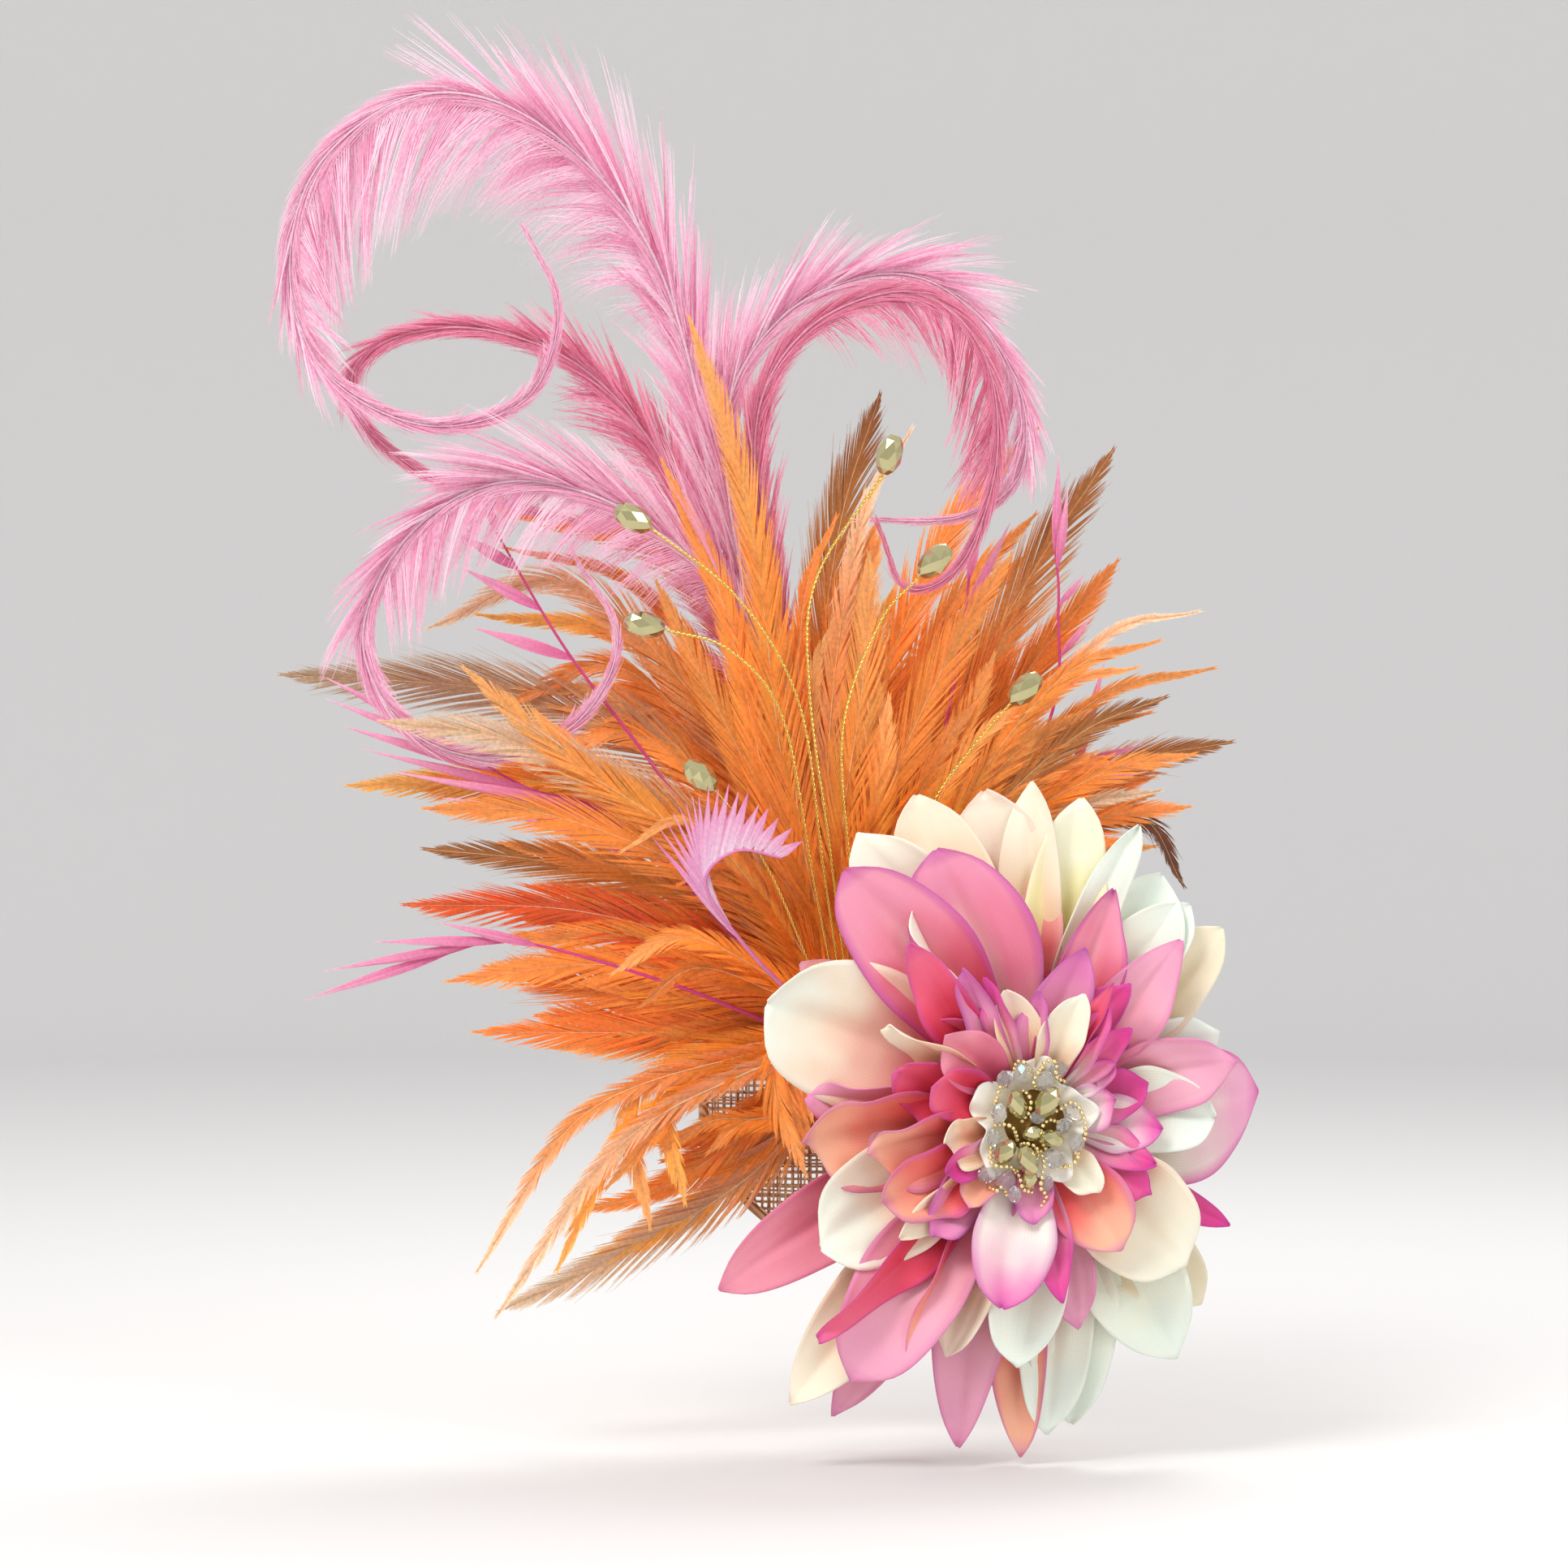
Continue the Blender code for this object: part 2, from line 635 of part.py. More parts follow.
def biot_meshes(row, seat_y, seat_radius, slope, half_width):
    """A stem, and its fingers as flat spikes from the stem to their tips."""
    seat_x, seat_z = seat_point(row.seat, seat_radius)
    seat = at(seat_x, seat_y, seat_z)
    stem = [at(x, y, z) for x, z, y in row.stem]
    shoulder = seat.lerp(stem[0], BIOT_SHOULDER)
    shoulder.y = seat.y - (shoulder - seat).length * slope
    count = BIOT_SEGMENTS
    route = smooth_route([seat, shoulder, *stem], count)
    radii = [STEM_RADIUS * (1 - STEM_TAPER * i / count) * MM for i in range(count + 1)]
    meshes = [tube(route, radii, STEM_SIDES)]
    for finger in row.fingers:
        place = finger.share * count
        index = min(int(place), count - 1)
        root = route[index].lerp(route[index + 1], place - index)
        if finger.share == 1.0:
            root = route[-2].lerp(route[-1], LAST_FINGER)
        tip = at(finger.x, root.y / MM - FINGER_TIP_RISE, finger.z)
        belly = root.lerp(tip, FINGER_BELLY) + TO_VIEWER * (tip - root).length * FINGER_RISE
        half_widths = [half_width * share * MM for share in FINGER_SHARES]
        meshes.append(blade([root, belly, tip], half_widths, (0, 0, 0), BLADE_THICKNESS * MM))
    return meshes


def bead_mesh(centre, axis):
    """A faceted oval bead: rings of flats between two small end tables."""
    across = axis.orthogonal().normalized()
    up = axis.cross(across)
    sections = []
    for along, share in BEAD_PROFILE:
        sections.append(
            [
                centre + axis * along * BEAD_LENGTH / 2 * MM
                + (across * math.cos(a) + up * math.sin(a)) * BEAD_RADIUS * share * MM
                for a in (2 * math.pi * i / BEAD_SIDES for i in range(BEAD_SIDES))
            ]
        )
    return loft(sections)


def build_beaded_wire(number, row, gold, glass):
    """A wire from the pad, and the bead that sits on its end."""
    seat_x, seat_z = seat_point(row.seat, FRONT_SEAT_RADIUS)
    seat = at(seat_x, WIRE_Y, seat_z)
    points = [at(x, layer_y(x, z, WIRE_Y, WIRE_SLOPE, FAR_WIRE_SLOPE), z) for x, z in row.route]
    x, z = (seat_x + row.route[0][0]) / 2, (seat_z + row.route[0][1]) / 2
    shoulder = at(x, layer_y(x, z, WIRE_Y, WIRE_SLOPE, FAR_WIRE_SLOPE), z)
    route = smooth_route([seat, shoulder, *points], WIRE_SEGMENTS)
    wire = tube(route, [WIRE_RADIUS * MM] * len(route), STEM_SIDES)
    add_object(f"spray_wire_{number}", wire, gold)
    axis = Vector((row.bead_axis[0], -BEAD_TILT, row.bead_axis[1])).normalized()
    centre = points[-1] + axis * (BEAD_LENGTH / 2 + GAP) * MM
    add_object(f"spray_bead_{number}", bead_mesh(centre, axis), glass)


def petal_mesh(row, slope, hub_y):
    """A cloth petal: cupped sections from inside the hub to the tip."""
    hub = Vector(HUB)
    tip = Vector(row.tip)
    outward = (tip - hub).normalized()
    start = hub + outward * (HUB_RADIUS - PETAL_INSET)
    start_y = hub_y - HUB_DEPTH / 3
    tip_y = start_y - slope * (tip - start).length + FLOWER_TILT * (tip.x - hub.x)
    middle = start.lerp(tip, 0.5)
    middle_y = (start_y + tip_y) / 2 - row.arch
    ends = [at(start.x, start_y, start.y), at(middle.x, middle_y, middle.y), at(tip.x, tip_y, tip.y)]
    route = smooth_route(ends, PETAL_SEGMENTS)
    sections = []
    for step, (point, direction) in enumerate(zip(route, tangents(route))):
        share = step / PETAL_SEGMENTS
        spread = (PETAL_START + PETAL_SPAN * share) ** PETAL_SKEW
        fullness = math.sin(math.pi * spread) ** PETAL_FULLNESS
        roll = math.radians(row.roll) * share
        across = Matrix.Rotation(roll, 3, direction) @ direction.cross(TO_VIEWER).normalized()
        normal = across.cross(direction)
        out = across * row.width / 2 * fullness * MM
        wall = normal * PETAL_THICKNESS / 2 * MM
        sections.append([point - out + wall, point + out + wall, point + out - wall, point - out - wall])
    return loft(sections)


def build_flower(cream, pink):
    for index, ring in enumerate(RINGS):
        hub_y = FIRST_HUB_Y - HUB_PITCH * index
        meshes = [disc(*HUB, hub_y, HUB_DEPTH, HUB_RADIUS, HUB_SIDES)]
        if index == 0:
            meshes.append(calyx_mesh())
        for place, row in enumerate(ring.petals):
            level = (place % 2) * LEVEL_STEP
            meshes.append(petal_mesh(row, ring.slope + level, hub_y))
        fuse(ring.name, meshes, cream if index == 0 else pink)


def calyx_mesh():
    """The flower's stem end: a cone from the base's face up into the first hub."""
    foot_y = -BASE_DEPTH - GAP
    top_y = FIRST_HUB_Y - HUB_DEPTH / 2
    sections = []
    for (x, z), y, radius in ((CALYX_FOOT, foot_y, CALYX_FOOT_RADIUS), (HUB, top_y, CALYX_TOP_RADIUS)):
        sections.append(
            [
                at(x + radius * math.cos(a), y, z + radius * math.sin(a))
                for a in (2 * math.pi * (i + 0.5) / HUB_SIDES for i in range(HUB_SIDES))
            ]
        )
    return loft(sections)


def stone_mesh(centre, radius, turn):
    """A cut stone facing the viewer: pavilion, girdle, crown and a flat table."""
    sections = []
    for depth, share in STONE_PROFILE:
        sections.append(
            [
                centre + at(radius * share * math.cos(a), depth, radius * share * math.sin(a))
                for a in (turn + 2 * math.pi * i / STONE_SIDES for i in range(STONE_SIDES))
            ]
        )
    return loft(sections)


def build_heart(material):
    """The stones on their setting: a low stepped boss in front of the last hub."""
    back_y = FIRST_HUB_Y - HUB_PITCH * len(RINGS)
    front_y = back_y - HEART_DISC_DEPTH
    meshes = [
        disc(*HUB, back_y, HEART_DISC_DEPTH, HEART_RADIUS, STONE_SIDES),
        disc(*HUB, front_y + BOSS_SINK, HEART_DISC_DEPTH, HEART_RADIUS * BOSS_SHARE, STONE_SIDES),
    ]
    for ring in STONE_RINGS:
        rise = DOME_RISE * (1 - ring.radius / DOME_RADIUS)
        for i in range(ring.count):
            angle = 2 * math.pi * (i + STONE_TURN) / ring.count
            x = HUB[0] + ring.radius * math.cos(angle)
            z = HUB[1] + ring.radius * math.sin(angle)
            y = front_y - rise + FLOWER_TILT * (x - HUB[0])
            meshes.append(stone_mesh(at(x, y, z), ring.width / 2, angle))
    return fuse("crystal_cluster", meshes, material)


def build_base(material):
    """A dish turned from its profile, then made oval: a flat face, a rim, and open at the back."""
    wall_y = -BASE_DEPTH + BASE_WALL
    side_y = -BASE_DEPTH * SIDE_DEPTH_SHARE
    profile = (
        (0, -BASE_DEPTH), (FACE_SHARE, -BASE_DEPTH), (SIDE_SHARE, side_y), (RIM_SHARE, -RIM_ROLL), (1, 0),
        (INNER_RIM_SHARE, 0), (INNER_SIDE_SHARE, side_y + BASE_WALL), (INNER_FACE_SHARE, wall_y),
        (0, wall_y),
    )
    mesh = bmesh.new()
    points = [mesh.verts.new(at(share * BASE_HALF_WIDTH, y, 0)) for share, y in profile]
    edges = [mesh.edges.new(pair) for pair in zip(points, points[1:])]
    bmesh.ops.spin(
        mesh, geom=points + edges, cent=(0, 0, 0), axis=(0, 1, 0),
        angle=2 * math.pi, steps=BASE_SIDES, use_merge=True,
    )
    bmesh.ops.remove_doubles(mesh, verts=mesh.verts, dist=0.00001)
    bmesh.ops.scale(mesh, vec=(1, 1, BASE_HALF_HEIGHT / BASE_HALF_WIDTH), verts=mesh.verts)
    bmesh.ops.recalc_face_normals(mesh, faces=mesh.faces)
    return add_object("sinamay_base", mesh, material)


def box_mesh(low, high):
    outline = ((low[0], low[1]), (high[0], low[1]), (high[0], high[1]), (low[0], high[1]))
    return loft([[at(x, y, z) for x, y in outline] for z in (low[2], high[2])])


def build_comb(material):
    """A plain comb: a bar against the base's inner face, and round teeth that slope backwards."""
    bar_front = -BASE_DEPTH + BASE_WALL + GAP
    bar = box_mesh(
        (-COMB_WIDTH / 2, bar_front, COMB_TOP - COMB_BAR_HEIGHT),
        (COMB_WIDTH / 2, bar_front + COMB_BAR_DEPTH, COMB_TOP),
    )
    meshes = [bar]
    for i in range(COMB_TEETH):
        x = (i / (COMB_TEETH - 1) - 0.5) * (COMB_WIDTH - 2 * COMB_END)
        top_y = bar_front + COMB_BAR_DEPTH / 2
        top_z = COMB_TOP - COMB_BAR_HEIGHT / 2
        route = [
            at(x, top_y, top_z),
            at(x, top_y + COMB_TOOTH_SLOPE * COMB_TOOTH_TIP_SHARE, top_z - COMB_TOOTH_LENGTH / 2),
            at(x, top_y + COMB_TOOTH_SLOPE, top_z - COMB_TOOTH_LENGTH),
        ]
        radii = [COMB_TOOTH_RADIUS * share * MM for share in (1, 1, COMB_TOOTH_TIP_SHARE)]
        meshes.append(tube(route, radii, COMB_TOOTH_SIDES))
    return fuse("comb", meshes, material)


def main():
    clear_scene()
    orange = painted("dyed_orange_hackle", (0.86, 0.27, 0.04), 0.6)
    pink = painted("dyed_pink_plume", (0.82, 0.27, 0.45), 0.6)
    silk_cream = painted("cream_silk", (0.86, 0.78, 0.64), 0.55)
    silk_pink = painted("pink_silk", (0.86, 0.36, 0.52), 0.55)
    straw = painted("peach_sinamay", (0.62, 0.36, 0.24), 0.8)
    gold = painted("gold_wire", (0.8, 0.6, 0.28), 0.3, 1.0)
    glass = painted("coated_glass", (0.6, 0.56, 0.4), 0.15, 0.6)
    steel = painted("comb_metal", (0.6, 0.6, 0.6), 0.35, 1.0)

    build_base(straw)
    build_comb(steel)
    build_hackles("hackles_back", BACK_HACKLES, BACK_PAD_Y, *BACK_SLOPES, orange)
    build_hackles("hackles_front", FRONT_HACKLES, FRONT_PAD_Y, *FRONT_SLOPES, orange)
    for row in PLUMES:
        fuse(row.name, plume_meshes(row), pink)
    for row in BIOTS:
        fuse(row.name, biot_meshes(row, STEM_Y, SEAT_RADIUS, STEM_SLOPE, FINGER_HALF_WIDTH), pink)
    fan_half_width = FINGER_HALF_WIDTH * FAN_FINGER_SHARE
    fan = biot_meshes(FRONT_FAN, FRONT_STEM_Y, FRONT_SEAT_RADIUS, FAN_SLOPE, fan_half_width)
    fuse(FRONT_FAN.name, fan, pink)
    for number, row in enumerate(WIRES, start=1):
        build_beaded_wire(number, row, gold, glass)
    build_flower(silk_cream, silk_pink)
    build_heart(glass)


main()
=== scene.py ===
# %% [markdown]
# A feather and silk flower fascinator.
#
# A fascinator is a small hat that is only a base and its trimmings. This one has an oval base of
# sinamay, a fan of dyed hackle feathers, curled plumes, stiff biots, beaded wires and a silk
# flower. The solids of the frame say where every piece sits. Each cell makes one kind of piece at
# that place, with its real surface.

# %% The frame and the tools
import bmesh
import bpy
import math
import random
from collections import namedtuple
from mathutils import Matrix, Vector, noise


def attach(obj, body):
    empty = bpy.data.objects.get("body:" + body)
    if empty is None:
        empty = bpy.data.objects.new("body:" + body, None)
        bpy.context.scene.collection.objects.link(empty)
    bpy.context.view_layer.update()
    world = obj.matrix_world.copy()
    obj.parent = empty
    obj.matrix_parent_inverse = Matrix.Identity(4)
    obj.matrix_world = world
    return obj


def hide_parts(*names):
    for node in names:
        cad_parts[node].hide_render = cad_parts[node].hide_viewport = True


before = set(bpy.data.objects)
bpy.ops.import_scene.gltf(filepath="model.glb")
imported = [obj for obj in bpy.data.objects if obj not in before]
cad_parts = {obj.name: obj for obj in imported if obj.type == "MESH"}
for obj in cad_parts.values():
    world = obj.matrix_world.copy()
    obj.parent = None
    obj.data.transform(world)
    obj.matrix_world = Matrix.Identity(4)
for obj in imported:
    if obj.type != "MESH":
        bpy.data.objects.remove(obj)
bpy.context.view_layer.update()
MM = 0.001
TO_VIEWER = Vector((0, -1, 0))
scene = bpy.context.scene
print("frame nodes:", len(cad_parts))


def at(x, y, z):
    """A point given in millimetres."""
    return Vector((x, y, z)) * MM


# %% [markdown]
# Colours are easiest to pick as sRGB hex values, but shaders work in linear light, so one function
# turns the first into the second. One small function adds a node of any kind, shader or geometry,
# sets its properties and fills or links its inputs. Every material starts from a Principled shader.

# %% Colours and nodes
def linear(hex_colour):
    """A linear RGBA colour from an sRGB hex value."""
    channels = [int(hex_colour[i:i + 2], 16) / 255 for i in (1, 3, 5)]
    return (*[c / 12.92 if c <= 0.04045 else ((c + 0.055) / 1.055) ** 2.4 for c in channels], 1)


def add_node(tree, kind, inputs=None, **settings):
    node = tree.nodes.new(kind)
    for name, value in settings.items():
        setattr(node, name, value)
    for key, value in (inputs or {}).items():
        if isinstance(value, bpy.types.NodeSocket):
            tree.links.new(value, node.inputs[key])
        else:
            node.inputs[key].default_value = value
    return node


def made(tree, kind, inputs=None, **settings):
    """The first output of a new node."""
    return add_node(tree, kind, inputs, **settings).outputs[0]


def new_material(name, values):
    """A material, its tree and its Principled shader with these values. A text is an sRGB colour."""
    material = bpy.data.materials.new(name)
    material.use_nodes = True
    shader = material.node_tree.nodes["Principled BSDF"]
    for key, value in values.items():
        shader.inputs[key].default_value = linear(value) if isinstance(value, str) else value
    return material, material.node_tree, shader


def paint(tree, shader, pattern, low, high):
    """Colours the shader between two sRGB values by a pattern."""
    blend = add_node(tree, "ShaderNodeMix", {0: pattern, 6: linear(low), 7: linear(high)}, data_type="RGBA")
    tree.links.new(blend.outputs[2], shader.inputs["Base Color"])


def object_place(tree):
    return add_node(tree, "ShaderNodeTexCoord").outputs["Object"]


print("white is", linear("#FFFFFF"))

# %% [markdown]
# The stage is a wide pale floor that turns up all round into a low wall, so no edge shows from any
# side, in a bright even room with three large soft lamps. The camera looks level along +Y, square
# to the base, as the photograph does.

# %% Floor, light and camera
FRAME_WIDTH = 483
VIEW_CENTRE = (-33.5, 96)
CAMERA_DISTANCE = 1500
FLOOR_Z = -107
FLOOR_RADIUS = 2200
WALL_BEND = 700
WALL_TOP = 1400
WALL_STEPS = 12
FLOOR_SIDES = 96


def lay_floor():
    """A round floor that turns up into a wall in one smooth bend."""
    profile = [(FLOOR_RADIUS, 0)]
    for step in range(1, WALL_STEPS + 1):
        angle = math.pi / 2 * step / WALL_STEPS
        profile.append((FLOOR_RADIUS + WALL_BEND * math.sin(angle), WALL_BEND * (1 - math.cos(angle))))
    profile.append((FLOOR_RADIUS + WALL_BEND, WALL_TOP))
    angles = [2 * math.pi * i / FLOOR_SIDES for i in range(FLOOR_SIDES)]
    mesh = bmesh.new()
    rings = [
        [mesh.verts.new(at(radius * math.cos(a), radius * math.sin(a), FLOOR_Z + height)) for a in angles]
        for radius, height in profile
    ]
    mesh.faces.new(rings[0])
    for lower, upper in zip(rings, rings[1:]):
        for i in range(FLOOR_SIDES):
            j = (i + 1) % FLOOR_SIDES
            mesh.faces.new((lower[j], lower[i], upper[i], upper[j])).smooth = True
    data = bpy.data.meshes.new("studio_floor")
    mesh.to_mesh(data)
    mesh.free()
    floor = bpy.data.objects.new("studio_floor", data)
    scene.collection.objects.link(floor)
    # Studio paper is matt and pale, so it takes soft shadows and no shine.
    paper, _, _ = new_material("matt_studio_paper", {"Base Color": "#E4E3E2", "Roughness": 0.9})
    data.materials.append(paper)


def add_lamp(name, place, size, power, colour):
    data = bpy.data.lights.new(name, "AREA")
    data.shape = "DISK"
    data.size = size
    data.energy = power
    data.color = colour
    lamp = bpy.data.objects.new(name, data)
    lamp.location = place
    aim = Vector((-0.03, -0.04, 0.1)) - Vector(place)
    lamp.rotation_euler = aim.to_track_quat("-Z", "Y").to_euler()
    scene.collection.objects.link(lamp)


def add_camera():
    data = bpy.data.cameras.new("photo_camera")
    data.sensor_width = 36
    data.lens = data.sensor_width * CAMERA_DISTANCE / FRAME_WIDTH
    data.clip_end = 20
    camera = bpy.data.objects.new("photo_camera", data)
    camera.location = at(VIEW_CENTRE[0], -CAMERA_DISTANCE, VIEW_CENTRE[1])
    camera.rotation_euler = (math.pi / 2, 0, 0)
    scene.collection.objects.link(camera)
    scene.camera = camera


lay_floor()
add_lamp("key_lamp", (-0.7, -1.1, 1.25), 0.7, 16, (1.0, 0.98, 0.95))
add_lamp("fill_lamp", (1.6, -1.9, 1.1), 1.0, 9, (0.96, 0.98, 1.0))
add_lamp("back_lamp", (0.3, 0.55, 1.2), 0.7, 7, (1.0, 0.98, 0.95))
add_camera()
world = bpy.data.worlds.new("soft_room")
world.use_nodes = True
air = world.node_tree.nodes["Background"].inputs
air["Color"].default_value = linear("#F0F0F2")
air["Strength"].default_value = 0.88
scene.world = world
scene.view_settings.view_transform = "Standard"
print("lens", round(scene.camera.data.lens, 1), "mm")

# %% [markdown]
# A feather is a quill with barbs along both sides. Hundreds of barbs share one shape, a narrow
# strip, and differ only in length, direction and bend, so they suit Geometry Nodes: Python lays
# out one point for each barb root, with those values stored on it, and one tree grows the strips
# and the quills. The same tree serves the smooth hackles and the loose hair of the plumes.

# %% The feather tree
def new_tree(name, inputs):
    """A geometry tree with a Geometry input and output and the other named inputs."""
    tree = bpy.data.node_groups.new(name, "GeometryNodeTree")
    tree.interface.new_socket("Geometry", in_out="INPUT", socket_type="NodeSocketGeometry")
    for label, kind, value in inputs:
        socket = tree.interface.new_socket(label, in_out="INPUT", socket_type="NodeSocket" + kind)
        if value is not None:
            socket.default_value = value
    tree.interface.new_socket("Geometry", in_out="OUTPUT", socket_type="NodeSocketGeometry")
    start = add_node(tree, "NodeGroupInput").outputs
    return tree, start


def read(tree, name, kind):
    """The value of a stored attribute."""
    return made(tree, "GeometryNodeInputNamedAttribute", {"Name": name}, data_type=kind)


def math_node(tree, operation, *values):
    return made(tree, "ShaderNodeMath", dict(enumerate(values)), operation=operation)


def place_outputs(tree):
    """The X, Y and Z of each point."""
    return add_node(tree, "ShaderNodeSeparateXYZ", {0: made(tree, "GeometryNodeInputPosition")}).outputs


def scaled(tree, vector, factor):
    node = add_node(tree, "ShaderNodeVectorMath", {0: vector}, operation="SCALE")
    tree.links.new(factor, node.inputs["Scale"])
    return node.outputs[0]


def finish_tree(tree, geometry, material):
    """Realize Instances and Set Material, then the output."""
    real = made(tree, "GeometryNodeRealizeInstances", {"Geometry": geometry})
    smooth = made(tree, "GeometryNodeSetShadeSmooth", {"Geometry": real})
    done = made(tree, "GeometryNodeSetMaterial", {"Geometry": smooth, "Material": material})
    add_node(tree, "NodeGroupOutput", {"Geometry": done})


def feather_tree():
    tree, start = new_tree(
        "barbs on quills",
        (
            ("Barb segments", "Int", 3),
            ("Tip width share", "Float", 0.2),
            ("Quill sides", "Int", 6),
            ("Material", "Material", None),
        ),
    )
    count = made(tree, "FunctionNodeInputInt", integer=1)
    columns = math_node(tree, "ADD", start["Barb segments"], count)
    strip = made(
        tree, "GeometryNodeMeshGrid", {"Size X": 1.0, "Size Y": 1.0, "Vertices X": columns, "Vertices Y": 2}
    )
    place = place_outputs(tree)
    along = math_node(tree, "ADD", place["X"], 0.5)
    marked = made(
        tree, "GeometryNodeStoreNamedAttribute", {"Geometry": strip, "Name": "along", "Value": along}
    )
    narrowing = math_node(tree, "SUBTRACT", 1.0, start["Tip width share"])
    lost = math_node(tree, "MULTIPLY", math_node(tree, "POWER", along, 2.0), narrowing)
    half = math_node(tree, "MULTIPLY", place["Y"], math_node(tree, "SUBTRACT", 1.0, lost))
    flat = made(tree, "ShaderNodeCombineXYZ", {0: along, 1: half})
    barb = made(tree, "GeometryNodeSetPosition", {"Geometry": marked, "Position": flat})

    way, face = read(tree, "barb_way", "FLOAT_VECTOR"), read(tree, "barb_face", "FLOAT_VECTOR")
    turn = made(
        tree, "FunctionNodeAxesToRotation", {"Primary Axis": way, "Secondary Axis": face},
        primary_axis="X", secondary_axis="Z",
    )
    length, width = read(tree, "barb_length", "FLOAT"), read(tree, "barb_width", "FLOAT")
    size = made(tree, "ShaderNodeCombineXYZ", {0: length, 1: width, 2: 1.0})
    grown = made(
        tree,
        "GeometryNodeInstanceOnPoints",
        {
            "Points": start["Geometry"],
            "Selection": read(tree, "is_barb", "BOOLEAN"),
            "Instance": barb,
            "Rotation": turn,
            "Scale": size,
        },
    )
    real = made(tree, "GeometryNodeRealizeInstances", {"Geometry": grown})
    bend = math_node(tree, "POWER", read(tree, "along", "FLOAT"), 2.0)
    bent = made(
        tree,
        "GeometryNodeSetPosition",
        {"Geometry": real, "Offset": scaled(tree, read(tree, "barb_curve", "FLOAT_VECTOR"), bend)},
    )

    lines = made(tree, "GeometryNodeMeshToCurve", {"Mesh": start["Geometry"]})
    ring = made(tree, "GeometryNodeCurvePrimitiveCircle", {"Resolution": start["Quill sides"], "Radius": 1.0})
    thickness = read(tree, "quill_radius", "FLOAT")
    quills = made(
        tree,
        "GeometryNodeCurveToMesh",
        {"Curve": lines, "Profile Curve": ring, "Scale": thickness, "Fill Caps": True},
    )
    both = add_node(tree, "GeometryNodeJoinGeometry")
    tree.links.new(quills, both.inputs[0])
    tree.links.new(bent, both.inputs[0])
    finish_tree(tree, both.outputs[0], start["Material"])
    return tree


FEATHER_TREE = feather_tree()
print("feather tree nodes:", len(FEATHER_TREE.nodes))

# %% [markdown]
# A quill is a smooth curve through a few chosen points. Each barb leaves it at a sweep angle and
# then follows the quill's own bend as far as it clings to it, so a barb's tip is worked out from
# the quill further on, and the strip is bent to reach it.

# %% Quills and barbs
FINE_STEPS = 24


def smooth_route(points, count):
    """count + 1 points, evenly spaced along a smooth curve through the given ones."""
    ends = [2 * points[0] - points[1], *points, 2 * points[-1] - points[-2]]
    fine = []
    for before, start, end, after in zip(ends, ends[1:], ends[2:], ends[3:]):
        for step in range(FINE_STEPS):
            t = step / FINE_STEPS
            fine.append(
                0.5 * (
                    2 * start + (end - before) * t
                    + (2 * before - 5 * start + 4 * end - after) * t**2
                    + (3 * start - before - 3 * end + after) * t**3
                )
            )
    fine.append(points[-1].copy())
    lengths = [0.0]
    for a, b in zip(fine, fine[1:]):
        lengths.append(lengths[-1] + (b - a).length)
    route = []
    index = 0
    for step in range(count + 1):
        target = lengths[-1] * step / count
        while index < len(fine) - 2 and lengths[index + 1] < target:
            index += 1
        share = (target - lengths[index]) / (lengths[index + 1] - lengths[index])
        route.append(fine[index].lerp(fine[index + 1], min(share, 1)))
    return route


def smooth_step(low, high, value):
    share = min(1, max(0, (value - low) / (high - low)))
    return share * share * (3 - 2 * share)


class Quill:
    """A smooth quill with a direction and a face normal at every point."""

    def __init__(self, points, count, roll=0.0):
        self.points = smooth_route(points, count)
        inner = [(b - a).normalized() for a, b in zip(self.points, self.points[2:])]
        first = (self.points[1] - self.points[0]).normalized()
        last = (self.points[-1] - self.points[-2]).normalized()
        self.ways = [first, *inner, last]
        self.length = sum((b - a).length for a, b in zip(self.points, self.points[1:]))
        self.faces = []
        for step, way in enumerate(self.ways):
            face = (TO_VIEWER - way * way.dot(TO_VIEWER)).normalized()
            turn = Matrix.Rotation(roll * step / count, 3, way)
            self.faces.append(turn @ face)

    def at_share(self, share):
        """The point, direction and face there, and straight on past the quill's end."""
        last = len(self.points) - 1
        place = min(max(share, 0), 1) * last
        index = min(int(place), last - 1)
        part = place - index
        point = self.points[index].lerp(self.points[index + 1], part)
        way = self.ways[index].lerp(self.ways[index + 1], part).normalized()
        face = self.faces[index].lerp(self.faces[index + 1], part).normalized()
        if share > 1:
            point = point + way * (share - 1) * self.length
        return point, way, face


